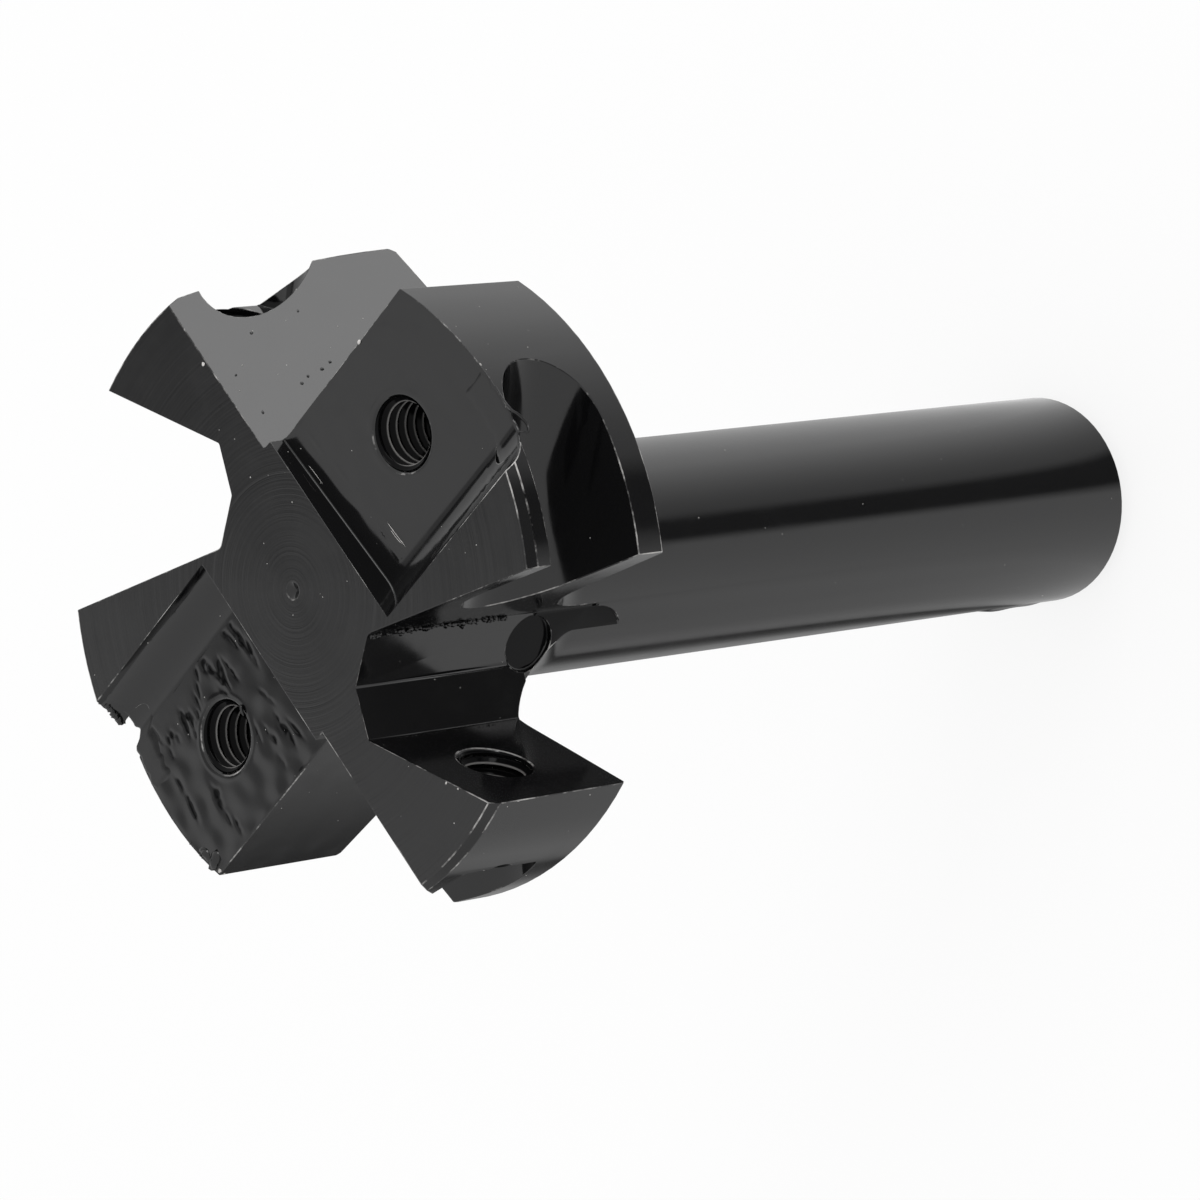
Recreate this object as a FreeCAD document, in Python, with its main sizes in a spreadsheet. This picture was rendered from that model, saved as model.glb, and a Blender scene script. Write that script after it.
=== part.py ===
import FreeCAD, Part
import Sketcher
import math
import os
import re

# Surfacing router bit: one turned and milled steel body with four empty insert seats.
# Millimetres and degrees. +Z is the tool's axis, the shank's end stands at z = 0 and the
# cutting face looks up. The seats come in two kinds that take turns round the head: upright
# ones, whose plane is parallel to XZ, and flat ones, sunk in the face. A flat seat's inner
# wall and the slope beside it are square to flat_turn, and its leading face and trailing wall
# run along leading_turn. Each kind is modelled once, and the pattern about the axis makes
# its twin.

SIZES = {
    # Turned blank
    "overall_height": 65.0,
    "shank_diameter": 12.7,
    "shank_end_chamfer": 1.0,
    "head_diameter": 36.24,
    "rim_height": 10.25,
    "front_chamfer_width": 0.28,
    "front_chamfer_height": 0.6,
    "back_chamfer": 0.2,
    "back_cone_angle": 7.5,
    "flare_radius": 5.0,
    "centre_mark_diameter": 1.0,
    "centre_mark_depth": 0.4,
    # Upright seat, its gullet and the run-out of the gullet's cutter in the shank
    "upright_seat_offset": 5.92,
    "relief_angle": 34.0,
    "gullet_floor_distance": 6.07,
    "gullet_floor_tilt": 3.5,
    "gullet_corner_height": -0.35,
    "gullet_corner_radius": 0.5,
    "gullet_relief_height": -3.47,
    "trailing_face_angle": 34.9,
    "gullet_run_depth": 12.8,
    "run_out_distance": 6.12,
    "run_out_depth": 17.6,
    "run_out_cutter_radius": 2.5,
    "plunge_mark_radius": 1.65,
    "plunge_mark_height": -2.2,
    "plunge_mark_distance": 5.8,
    # Flat seat, sunk in the face
    "flat_turn": 60.0,
    "leading_turn": 58.3,
    "leading_face_distance": 6.96,
    "flat_seat_inner": 4.5,
    "flat_seat_width": 12.69,
    "flat_seat_depth": 1.05,
    "flat_seat_tilt": 4.0,
    "flat_seat_fillet": 2.4,
    # Chip gullet behind an upright seat: its floor is the wing's sloping back
    "ramp_start": 3.6,
    "ramp_angle": 35.0,
    "ramp_run_depth": 12.0,
    # Tapped holes for the insert screws
    "thread_diameter": 4.0,
    "thread_mouth_diameter": 4.3,
    "upright_hole_out": 12.35,
    "upright_hole_level": 4.9,
    "upright_thread_length": 5.4,
    "counterbore_diameter": 6.65,
    "flat_hole_out": 6.72,
    "flat_hole_behind": 5.63,
    # Slot that lets the key reach the upright seat's screw
    "access_slot_diameter": 6.65,
    # Distance by which open profiles run past the steel
    "overrun": 4.0,
}

SHEET_NAME = "sizes"
BODY_NAME = "cutter_body"
PATTERN_COPIES = 2


def from_sheet(text):
    """Leads every size's name in a formula with the sheet's name."""
    return re.sub(r"[a-z_]+", lambda word: f"{SHEET_NAME}.{word.group()}" if word.group() in SIZES
                  else word.group(), text)


def make_sheet(doc):
    """Puts the driving sizes in a spreadsheet, one named cell each."""
    sheet = doc.addObject("Spreadsheet::Sheet", SHEET_NAME)
    for row, (name, value) in enumerate(SIZES.items(), start=1):
        sheet.set(f"A{row}", name)
        sheet.set(f"B{row}", str(value))
        sheet.setAlias(f"B{row}", name)
    doc.recompute()
    return sheet


# Formulas that several features share
HEAD_RADIUS = "head_diameter / 2"
SHANK_RADIUS = "shank_diameter / 2"
BACK_LEVEL = "(overall_height - rim_height)"
FAR_OUT = "(head_diameter / 2 + overrun)"
GULLET_CORNER_OUT = "gullet_floor_distance + gullet_corner_height * tan(gullet_floor_tilt)"
RELIEF_OUT = "gullet_floor_distance + gullet_relief_height * tan(gullet_floor_tilt)"
HOLE_LEVEL = "(overall_height - upright_hole_level)"
SEAT_SKEW = "(flat_turn - leading_turn)"
LEADING_EDGE = f"(leading_face_distance / cos({SEAT_SKEW}) - flat_seat_inner * tan({SEAT_SKEW}))"
FLAT_HOLE_ACROSS = f"({LEADING_EDGE} - flat_hole_behind)"
FLAT_HOLE_LEVEL = "(overall_height - flat_seat_depth - flat_hole_behind * tan(flat_seat_tilt))"


def trailing_height(across):
    """Formula of the trailing face's height over X, from the gullet's corner outwards."""
    return f"gullet_corner_height + ({across} - ({GULLET_CORNER_OUT})) * tan(trailing_face_angle)"


def make_sketch(body, sheet, name, plane, distance="0", turn="0"):
    """Attaches a sketch to an origin plane, turned about Z and moved along its own normal."""
    sketch = body.newObject("Sketcher::SketchObject", name)
    origin_plane = next(item for item in body.Origin.OriginFeatures if item.Role == plane)
    sketch.AttachmentSupport = (origin_plane, [""])
    sketch.MapMode = "FlatFace"
    if plane == "XY_Plane":
        sketch.setExpression(".AttachmentOffset.Base.z", from_sheet(distance))
        return sketch
    angle = sheet.evalExpression(from_sheet(turn))
    sketch.AttachmentOffset = FreeCAD.Placement(
        FreeCAD.Vector(), FreeCAD.Rotation(FreeCAD.Vector(0, 1, 0), angle))
    sketch.setExpression(".AttachmentOffset.Base.x", from_sheet(f"({distance}) * sin({turn})"))
    sketch.setExpression(".AttachmentOffset.Base.z", from_sheet(f"({distance}) * cos({turn})"))
    if turn != "0":
        sketch.setExpression(".AttachmentOffset.Rotation.Angle", from_sheet(turn))
    return sketch


def bind(sketch, constraint, name, formula):
    """Adds a named dimension whose value is a formula of the sheet's sizes."""
    index = sketch.addConstraint(constraint)
    sketch.renameConstraint(index, name)
    sketch.setExpression(f"Constraints.{name}", from_sheet(formula))


def pin_point(sketch, geometry, end, name, place, spot):
    """Fixes one point of the sketch by two formulas, measured from the sketch's origin."""
    across, up = place
    bind(sketch, Sketcher.Constraint("DistanceX", -1, 1, geometry, end, spot.x), f"{name}_across", across)
    bind(sketch, Sketcher.Constraint("DistanceY", -1, 1, geometry, end, spot.y), f"{name}_up", up)


def draw_outline(sketch, sheet, corners, radii=None):
    """Draws a closed outline through named corners, with an arc where a corner has a radius.

    corners maps a name to its two formulas, and radii maps a corner's name to its radius.
    """
    radii = radii or {}
    names = list(corners)
    spots = {}
    for name, (across, up) in corners.items():
        spots[name] = FreeCAD.Vector(float(sheet.evalExpression(from_sheet(across))),
                                     float(sheet.evalExpression(from_sheet(up))), 0)

    # Where each side ends: at its corner, or where the corner's arc begins
    ends = {}
    for index, name in enumerate(names):
        before = spots[names[index - 1]]
        after = spots[names[(index + 1) % len(names)]]
        ends[name] = (spots[name], spots[name])
        if name in radii:
            radius = float(sheet.evalExpression(from_sheet(radii[name])))
            back = (before - spots[name]).normalize()
            on = (after - spots[name]).normalize()
            reach = radius / math.tan(back.getAngle(on) / 2)
            ends[name] = (spots[name] + back * reach, spots[name] + on * reach)
    sides = []
    for index, name in enumerate(names):
        following = names[(index + 1) % len(names)]
        sides.append(sketch.addGeometry(Part.LineSegment(ends[name][1], ends[following][0])))

    for index, name in enumerate(names):
        side_in = sides[index - 1]
        side_out = sides[index]
        if name not in radii:
            sketch.addConstraint(Sketcher.Constraint("Coincident", side_in, 2, side_out, 1))
            pin_point(sketch, side_out, 1, name, corners[name], spots[name])
            continue
        start, end = ends[name]
        inward = ((start + end) * 0.5 - spots[name]).normalize()
        radius = float(sheet.evalExpression(from_sheet(radii[name])))
        half_turn = (start - spots[name]).getAngle(end - spots[name]) / 2
        centre = spots[name] + inward * (radius / math.sin(half_turn))
        middle = centre - inward * radius
        arc = sketch.addGeometry(Part.Arc(start, middle, end))
        first, last = (1, 2)
        if (sketch.getPoint(arc, 1) - start).Length > (sketch.getPoint(arc, 2) - start).Length:
            first, last = (2, 1)
        sketch.addConstraint(Sketcher.Constraint("Tangent", side_in, 2, arc, first))
        sketch.addConstraint(Sketcher.Constraint("Tangent", side_out, 1, arc, last))
        bind(sketch, Sketcher.Constraint("Radius", arc, radius), f"{name}_radius", radii[name])
        corner = sketch.addGeometry(Part.Point(spots[name]), True)
        sketch.addConstraint(Sketcher.Constraint("PointOnObject", corner, 1, side_in))
        sketch.addConstraint(Sketcher.Constraint("PointOnObject", corner, 1, side_out))
        pin_point(sketch, corner, 1, name, corners[name], spots[name])


def draw_circle(sketch, sheet, name, centre, radius):
    """Draws one circle whose centre and radius are formulas."""
    spot = FreeCAD.Vector(float(sheet.evalExpression(from_sheet(centre[0]))),
                          float(sheet.evalExpression(from_sheet(centre[1]))), 0)
    size = float(sheet.evalExpression(from_sheet(radius)))
    circle = sketch.addGeometry(Part.Circle(spot, FreeCAD.Vector(0, 0, 1), size))
    pin_point(sketch, circle, 3, name, centre, spot)
    bind(sketch, Sketcher.Constraint("Radius", circle, size), f"{name}_radius", radius)


def draw_axis(sketch, sheet, start, end):
    """Draws the construction line that a revolved cut turns about."""
    spots = []
    for place in (start, end):
        spots.append(FreeCAD.Vector(float(sheet.evalExpression(from_sheet(place[0]))),
                                    float(sheet.evalExpression(from_sheet(place[1]))), 0))
    line = sketch.addGeometry(Part.LineSegment(*spots), True)
    pin_point(sketch, line, 1, "axis_start", start, spots[0])
    pin_point(sketch, line, 2, "axis_end", end, spots[1])


def cut_pocket(doc, body, sketch, name, depth=None, reverse=False, heading=None, fall="0"):
    """Cuts a sketch through the steel, or to a depth, and makes sure that it took some away.

    heading is the formula of the cut's direction about Z, where it isn't square to the sketch,
    and fall is how much it falls over a unit of that direction.
    """
    before = body.Tip.Shape.Volume
    pocket = body.newObject("PartDesign::Pocket", name)
    pocket.Profile = sketch
    pocket.Reversed = reverse
    pocket.Type = "ThroughAll"
    if depth:
        pocket.Type = "Length"
        pocket.setExpression("Length", from_sheet(depth))
    if heading:
        pocket.UseCustomVector = True
        pocket.setExpression("Direction.x", from_sheet(f"cos({heading})"))
        pocket.setExpression("Direction.y", from_sheet(f"sin({heading})"))
        pocket.setExpression("Direction.z", from_sheet(f"-({fall})"))
    sketch.Visibility = False
    doc.recompute()
    check_cut(name, before, pocket.Shape.Volume)
    return pocket


def cut_groove(doc, body, sketch, name):
    """Cuts a revolved profile about the sketch's own construction line."""
    before = body.Tip.Shape.Volume
    groove = body.newObject("PartDesign::Groove", name)
    groove.Profile = sketch
    groove.ReferenceAxis = (sketch, ["Axis0"])
    groove.Angle = 360
    sketch.Visibility = False
    doc.recompute()
    check_cut(name, before, groove.Shape.Volume)
    return groove


def check_cut(name, before, after):
    """Stops when a cut has taken nothing away."""
    print(f"{name}: {before - after:.2f} cubic mm cut away")
    if not after < before:
        raise RuntimeError(f"{name} cuts nothing")


def turn_blank(doc, body, sheet):
    """Turns the shank, the flare behind the head and the head's disc in one profile."""
    sketch = make_sketch(body, sheet, "blank_profile", "XZ_Plane")
    corner_drop = f"({HEAD_RADIUS} - {SHANK_RADIUS}) * tan(back_cone_angle)"
    chamfer_drop = "back_chamfer * tan(back_cone_angle)"
    corners = {
        "end_centre": ("0", "0"),
        "end_edge": (f"{SHANK_RADIUS} - shank_end_chamfer", "0"),
        "shank_start": (SHANK_RADIUS, "shank_end_chamfer"),
        "flare": (SHANK_RADIUS, f"{BACK_LEVEL} - {corner_drop}"),
        "back_edge": (f"{HEAD_RADIUS} - back_chamfer", f"{BACK_LEVEL} - {chamfer_drop}"),
        "rim_start": (HEAD_RADIUS, f"{BACK_LEVEL} + back_chamfer"),
        "rim_end": (HEAD_RADIUS, "overall_height - front_chamfer_height"),
        "face_edge": (f"{HEAD_RADIUS} - front_chamfer_width", "overall_height"),
        "mark_edge": ("centre_mark_diameter / 2", "overall_height"),
        "mark_bottom": ("0", "overall_height - centre_mark_depth"),
    }
    draw_outline(sketch, sheet, corners, {"flare": "flare_radius"})
    blank = body.newObject("PartDesign::Revolution", "turned_blank")
    blank.Profile = sketch
    blank.ReferenceAxis = (sketch, ["V_Axis"])
    blank.Angle = 360
    sketch.Visibility = False
    doc.recompute()
    return blank


def mill_upright_gullet(doc, body, sheet):
    """Mills the space before an upright seat, with the run-out of its cutter in the shank."""
    outline = make_sketch(body, sheet, "gullet_outline", "XY_Plane", "overall_height")
    seat_rise = "(upright_seat_offset + gullet_relief_height)"
    corners = {
        "seat_start": (f"{RELIEF_OUT} + {seat_rise} * tan(relief_angle)", "-upright_seat_offset"),
        "seat_far": (FAR_OUT, "-upright_seat_offset"),
        "trailing_far": (FAR_OUT, trailing_height(FAR_OUT)),
        "corner": (GULLET_CORNER_OUT, "gullet_corner_height"),
        "relief": (RELIEF_OUT, "gullet_relief_height"),
    }
    draw_outline(outline, sheet, corners, {"corner": "gullet_corner_radius"})
    gullet = cut_pocket(doc, body, outline, "upright_gullet", depth="gullet_run_depth")

    lower = make_sketch(body, sheet, "run_out_outline", "XY_Plane", "overall_height - gullet_run_depth")
    corners = {
        "seat_start": ("run_out_distance", "-upright_seat_offset"),
        "seat_far": (FAR_OUT, "-upright_seat_offset"),
        "trailing_far": (FAR_OUT, trailing_height(FAR_OUT)),
        "corner": ("run_out_distance", trailing_height("run_out_distance")),
    }
    draw_outline(lower, sheet, corners, {"corner": "gullet_corner_radius"})
    run_out = cut_pocket(doc, body, lower, "run_out", depth="run_out_depth - gullet_run_depth")

    end = make_sketch(body, sheet, "run_out_circle", "YZ_Plane", "run_out_distance")
    end_centre = ("gullet_corner_height - run_out_cutter_radius", "overall_height - run_out_depth")
    draw_circle(end, sheet, "run_out_end", end_centre, "run_out_cutter_radius")
    run_out_end = cut_pocket(doc, body, end, "run_out_end", reverse=True)

    mark = make_sketch(body, sheet, "plunge_circle", "YZ_Plane", "plunge_mark_distance")
    mark_centre = ("plunge_mark_height", "overall_height - gullet_run_depth")
    draw_circle(mark, sheet, "plunge", mark_centre, "plunge_mark_radius")
    plunge = cut_pocket(doc, body, mark, "plunge_mark", reverse=True)
    return [gullet, run_out, run_out_end, plunge]


def mill_flat_seat(doc, body, sheet):
    """Sinks a flat seat in the face: a tilted floor with a fillet up to its trailing wall.

    The outline stands on the seat's inner wall, and the cut runs out along the leading face.
    It falls by as much as keeps the floor level across the inner wall.
    """
    sketch = make_sketch(body, sheet, "flat_seat_profile", "YZ_Plane", "flat_seat_inner", "flat_turn")
    wall = f"{LEADING_EDGE} - flat_seat_width"
    corners = {
        "wall_top": (wall, "overall_height + overrun"),
        "wall_foot": (wall, "overall_height - flat_seat_depth - flat_seat_width * tan(flat_seat_tilt)"),
        "leading_edge": (LEADING_EDGE, "overall_height - flat_seat_depth"),
        "leading_top": (LEADING_EDGE, "overall_height + overrun"),
    }
    draw_outline(sketch, sheet, corners, {"wall_foot": "flat_seat_fillet"})
    fall = f"sin({SEAT_SKEW}) * tan(flat_seat_tilt)"
    return [cut_pocket(doc, body, sketch, "flat_seat", heading="leading_turn", fall=fall)]


def mill_chip_gullet(doc, body, sheet):
    """Mills the space between a flat seat's leading face and the next wing's sloping back."""
    sketch = make_sketch(body, sheet, "ramp_profile", "XZ_Plane", "-leading_face_distance",
                         "leading_turn")
    corners = {
        "ramp_top": ("ramp_start - overrun * tan(ramp_angle)", "overall_height + overrun"),
        "ramp_foot": ("ramp_start + ramp_run_depth * tan(ramp_angle)", "overall_height - ramp_run_depth"),
        "foot_far": (FAR_OUT, "overall_height - ramp_run_depth"),
        "top_far": (FAR_OUT, "overall_height + overrun"),
    }
    draw_outline(sketch, sheet, corners)
    return [cut_pocket(doc, body, sketch, "chip_gullet", heading="flat_turn + 90")]


def drill_upright_hole(doc, body, sheet):
    """Drills the upright seat's screw hole, with its counterbore from the wing's back."""
    sketch = make_sketch(body, sheet, "upright_hole_profile", "XY_Plane", HOLE_LEVEL)
    centre = "upright_hole_out"
    thread_end = "-(upright_seat_offset + upright_thread_length)"
    mouth_flare = "(thread_mouth_diameter - thread_diameter) / 2"
    corners = {
        "mouth_centre": (centre, "-upright_seat_offset + overrun"),
        "mouth_far": (f"{centre} + thread_mouth_diameter / 2", "-upright_seat_offset + overrun"),
        "mouth_edge": (f"{centre} + thread_mouth_diameter / 2", "-upright_seat_offset"),
        "thread_start": (f"{centre} + thread_diameter / 2", f"-upright_seat_offset - {mouth_flare}"),
        "thread_end": (f"{centre} + thread_diameter / 2", thread_end),
        "counterbore_floor": (f"{centre} + counterbore_diameter / 2", thread_end),
        "counterbore_far": (f"{centre} + counterbore_diameter / 2", f"-{FAR_OUT}"),
        "far_centre": (centre, f"-{FAR_OUT}"),
    }
    draw_axis(sketch, sheet, corners["mouth_centre"], corners["far_centre"])
    draw_outline(sketch, sheet, corners)
    return [cut_groove(doc, body, sketch, "upright_hole")]


def drill_flat_hole(doc, body, sheet):
    """Drills the flat seat's screw hole square to the tilted floor, out through the head's back."""
    sketch = make_sketch(body, sheet, "flat_hole_profile", "YZ_Plane",
                         "flat_seat_inner + flat_hole_out", "flat_turn")

    def beside(radius, height):
        """Formulas of a point at a radius from the hole's axis and a height above the floor."""
        across = f"{FLAT_HOLE_ACROSS} - ({height}) * sin(flat_seat_tilt) + ({radius}) * cos(flat_seat_tilt)"
        up = f"{FLAT_HOLE_LEVEL} + ({height}) * cos(flat_seat_tilt) + ({radius}) * sin(flat_seat_tilt)"
        return across, up

    through = "-(rim_height + overrun)"
    mouth_flare = "(thread_mouth_diameter - thread_diameter) / 2"
    corners = {
        "far_centre": beside("0", through),
        "thread_end": beside("thread_diameter / 2", through),
        "thread_start": beside("thread_diameter / 2", f"-({mouth_flare})"),
        "mouth_edge": beside("thread_mouth_diameter / 2", "0"),
        "mouth_far": beside("thread_mouth_diameter / 2", "overrun"),
        "mouth_centre": beside("0", "overrun"),
    }
    draw_axis(sketch, sheet, corners["far_centre"], corners["mouth_centre"])
    draw_outline(sketch, sheet, corners)
    return [cut_groove(doc, body, sketch, "flat_hole")]


def mill_access_slot(doc, body, sheet):
    """Mills the round-ended slot across the flat seat's wing, in line with the upright screw."""
    sketch = make_sketch(body, sheet, "access_slot_outline", "XZ_Plane")
    radius = "access_slot_diameter / 2"
    corners = {
        "upper": ("upright_hole_out", f"{HOLE_LEVEL} + {radius}"),
        "lower": ("upright_hole_out", f"{HOLE_LEVEL} - {radius}"),
        "lower_far": (FAR_OUT, f"{HOLE_LEVEL} - {radius}"),
        "upper_far": (FAR_OUT, f"{HOLE_LEVEL} + {radius}"),
    }
    draw_outline(sketch, sheet, corners)
    slot = cut_pocket(doc, body, sketch, "access_slot")

    end = make_sketch(body, sheet, "access_end_circle", "XZ_Plane")
    draw_circle(end, sheet, "slot_end", ("upright_hole_out", HOLE_LEVEL), radius)
    return [slot, cut_pocket(doc, body, end, "access_slot_end")]


def repeat_about_axis(doc, body, features):
    """Repeats one side's cuts on the other side of the axis."""
    before = body.Tip.Shape.Volume
    pattern = body.newObject("PartDesign::PolarPattern", "second_side")
    pattern.Originals = features
    z_axis = next(item for item in body.Origin.OriginFeatures if item.Role == "Z_Axis")
    pattern.Axis = (z_axis, [""])
    pattern.Angle = 360
    pattern.Occurrences = PATTERN_COPIES
    body.Tip = pattern
    doc.recompute()
    check_cut("second_side", before, pattern.Shape.Volume)


def check_document(doc, body):
    """Stops on any failed object, and on a body that isn't one valid solid."""
    for item in doc.Objects:
        if "Invalid" in item.State or "Error" in item.State:
            raise RuntimeError(f"{item.Name} failed: {item.State}")
        if item.isDerivedFrom("Sketcher::SketchObject") and item.solve() != 0:
            raise RuntimeError(f"{item.Name} doesn't solve")
    shape = body.Shape
    if shape.isNull() or not shape.isValid() or len(shape.Solids) != 1:
        raise RuntimeError("the body is not one valid solid")
    print(f"volume {shape.Volume:.1f}, faces {len(shape.Faces)}, box {shape.BoundBox}")


def main():
    """Builds the router bit and writes its shape."""
    doc = FreeCAD.newDocument("surfacing_router_bit")
    sheet = make_sheet(doc)
    body = doc.addObject("PartDesign::Body", BODY_NAME)
    body.Label = BODY_NAME
    body.Placement = FreeCAD.Placement()
    turn_blank(doc, body, sheet)
    features = []
    for step in (mill_upright_gullet, mill_flat_seat, mill_chip_gullet, drill_upright_hole,
                 drill_flat_hole, mill_access_slot):
        features += step(doc, body, sheet)
    repeat_about_axis(doc, body, features)
    check_document(doc, body)
    os.makedirs("parts", exist_ok=True)
    body.Shape.exportStep(f"parts/{body.Label}.step")


main()
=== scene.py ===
"""Surfacing router bit: black coated steel body with four empty insert seats.

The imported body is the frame. This script gives it its coated finish, rounds its edges, dents
the sunken seats, and adds the visible thread turns, burrs, a paint run and dust.
"""

import logging
import math
from dataclasses import dataclass, field
from enum import Enum

import bmesh
import bpy
import numpy as np
from mathutils import Matrix, Vector
from mathutils.bvhtree import BVHTree
from mathutils.geometry import delaunay_2d_cdt


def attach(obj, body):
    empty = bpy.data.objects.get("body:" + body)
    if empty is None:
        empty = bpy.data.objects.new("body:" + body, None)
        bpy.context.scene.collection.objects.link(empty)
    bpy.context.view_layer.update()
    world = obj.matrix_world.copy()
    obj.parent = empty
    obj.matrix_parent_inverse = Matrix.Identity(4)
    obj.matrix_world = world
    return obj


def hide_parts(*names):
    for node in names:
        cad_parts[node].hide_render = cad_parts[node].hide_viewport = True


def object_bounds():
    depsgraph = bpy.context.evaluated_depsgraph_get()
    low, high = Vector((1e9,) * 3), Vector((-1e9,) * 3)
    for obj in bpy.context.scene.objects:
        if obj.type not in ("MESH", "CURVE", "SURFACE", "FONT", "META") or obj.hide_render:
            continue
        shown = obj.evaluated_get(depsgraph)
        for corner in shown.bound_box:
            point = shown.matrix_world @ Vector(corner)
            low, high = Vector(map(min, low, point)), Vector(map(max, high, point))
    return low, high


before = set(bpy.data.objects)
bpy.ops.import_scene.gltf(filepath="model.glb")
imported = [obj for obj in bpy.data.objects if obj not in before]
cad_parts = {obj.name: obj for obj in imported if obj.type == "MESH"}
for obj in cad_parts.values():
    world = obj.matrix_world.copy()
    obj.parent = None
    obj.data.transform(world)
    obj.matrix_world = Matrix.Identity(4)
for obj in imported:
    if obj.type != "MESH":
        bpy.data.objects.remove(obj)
CAD_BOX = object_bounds()

LOG = logging.getLogger("router_bit")
MM = 0.001
BODY_NODE = "cutter_body"
CREST_LAYER = "crest"
PIT_LAYER = "pit"


class Side(Enum):
    """The two sides of the head, which are each other's half turn about the axis."""

    FIRST = 1.0
    SECOND = -1.0


@dataclass(frozen=True)
class HeadSizes:
    """Sizes of the head that the added pieces line up with, in millimetres and degrees."""

    top: float = 65.0
    shank_radius: float = 6.35
    wall_heading: float = 60.0
    leading_heading: float = 58.3
    leading_offset: float = 6.96
    seat_inner: float = 4.5
    seat_width: float = 12.69
    seat_depth: float = 1.05
    seat_tilt: float = 4.0
    seat_fillet: float = 2.4
    flat_hole_out: float = 6.72
    flat_hole_behind: float = 5.63
    upright_offset: float = 5.92
    upright_hole_out: float = 12.35
    upright_hole_level: float = 60.1
    flat_thread_length: float = 9.3
    upright_thread_length: float = 5.2

    def seat_frame(self, side: Side) -> tuple[np.ndarray, np.ndarray, np.ndarray, np.ndarray]:
        """Frame of a sunken seat's floor.

        Args:
            side: which of the two seats.

        Returns:
            The screw hole's mouth on the floor, and unit vectors outwards along the inner
            wall's normal, across towards the leading face, and square off the floor.
        """
        out = heading(self.wall_heading)
        level_across = heading(self.wall_heading + 90)
        tilt = math.radians(self.seat_tilt)
        skew = math.radians(self.wall_heading - self.leading_heading)
        lead = self.leading_offset / math.cos(skew) - self.seat_inner * math.tan(skew)
        place = (self.seat_inner + self.flat_hole_out) * out
        place = place + (lead - self.flat_hole_behind) * level_across
        place[2] = self.top - self.seat_depth - self.flat_hole_behind * math.tan(tilt)
        across = math.cos(tilt) * level_across + np.array([0.0, 0.0, math.sin(tilt)])
        normal = np.cross(out, across)
        turn = half_turn(side)
        return turn @ place, turn @ out, turn @ across, turn @ normal


SIZES = HeadSizes()


def heading(degrees: float) -> np.ndarray:
    """Level unit vector at an angle about the axis."""
    angle = math.radians(degrees)
    return np.array([math.cos(angle), math.sin(angle), 0.0])


def half_turn(side: Side) -> np.ndarray:
    """Matrix that carries the first side to the given one."""
    return np.diag([side.value, side.value, 1.0])


def smooth_step(value: np.ndarray, low: float, high: float) -> np.ndarray:
    """Rises smoothly from 0 at low to 1 at high."""
    share = np.clip((value - low) / (high - low), 0.0, 1.0)
    return share * share * (3.0 - 2.0 * share)


def soft_noise(points: np.ndarray, cell: float, seed: int) -> np.ndarray:
    """Smooth noise made of a few dozen sine waves of random direction.

    Args:
        points: places in millimetres, one row each.
        cell: the size of a lump in millimetres.
        seed: what the random directions start from.

    Returns:
        One value per point, about -1 to 1.
    """
    draw = np.random.default_rng(seed)
    count = 28
    ways = draw.normal(size=(count, points.shape[1]))
    ways /= np.linalg.norm(ways, axis=1, keepdims=True)
    rates = math.pi / cell * draw.uniform(0.6, 1.5, size=(count, 1))
    phases = draw.uniform(0.0, 2 * math.pi, size=count)
    return np.sin(points @ (ways * rates).T + phases).sum(axis=1) / math.sqrt(count)


def linked(name: str, data: bpy.types.ID) -> bpy.types.Object:
    """Puts a mesh, a camera or a lamp into the scene as an object at the origin."""
    thing = bpy.data.objects.new(name, data)
    bpy.context.scene.collection.objects.link(thing)
    return thing


def object_from_bmesh(name: str, mesh: bmesh.types.BMesh) -> bpy.types.Object:
    """Turns a bmesh into an object at the origin.

    Args:
        name: the piece's name.
        mesh: the finished bmesh, which is freed.

    Returns:
        The new object, linked to the scene.
    """
    data = bpy.data.meshes.new(name)
    mesh.to_mesh(data)
    mesh.free()
    return linked(name, data)


def grid_object(name: str, points: np.ndarray, closed_rows: bool) -> bpy.types.Object:
    """Makes a smooth mesh from a grid of points.

    Args:
        name: the piece's name.
        points: rows by columns by three, in millimetres.
        closed_rows: whether the last column joins the first.

    Returns:
        The new object, whose faces are quads between neighbouring grid points.
    """
    rows, columns = points.shape[:2]
    index = np.arange(rows * columns).reshape(rows, columns)
    right = np.roll(index, -1, axis=1)
    span = columns if closed_rows else columns - 1
    quads = np.stack([index[:-1, :span], right[:-1, :span], right[1:, :span], index[1:, :span]], axis=-1)
    return smooth_object(name, points, quads)


def smooth_object(name: str, points: np.ndarray, faces: np.ndarray) -> bpy.types.Object:
    """Makes a smooth mesh from points and the corners of its faces.

    Args:
        name: the piece's name.
        points: places in millimetres, in an array whose last axis is three long.
        faces: point numbers, in an array whose last axis holds one face.

    Returns:
        The new object.
    """
    data = bpy.data.meshes.new(name)
    data.from_pydata((points.reshape(-1, 3) * MM).tolist(), [], faces.reshape(-1, faces.shape[-1]).tolist())
    data.shade_smooth()
    return linked(name, data)


def dress(thing: bpy.types.Object, *materials: bpy.types.Material) -> bpy.types.Object:
    """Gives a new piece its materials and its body."""
    for material in materials:
        thing.data.materials.append(material)
    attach(thing, "root")
    LOG.info("%s: %d faces", thing.name, len(thing.data.polygons))
    return thing


@dataclass(frozen=True)
class Pattern:
    """A noise: its lumps to a metre, its finer layers, and how strong those are."""

    scale: float
    detail: float
    roughness: float


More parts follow.
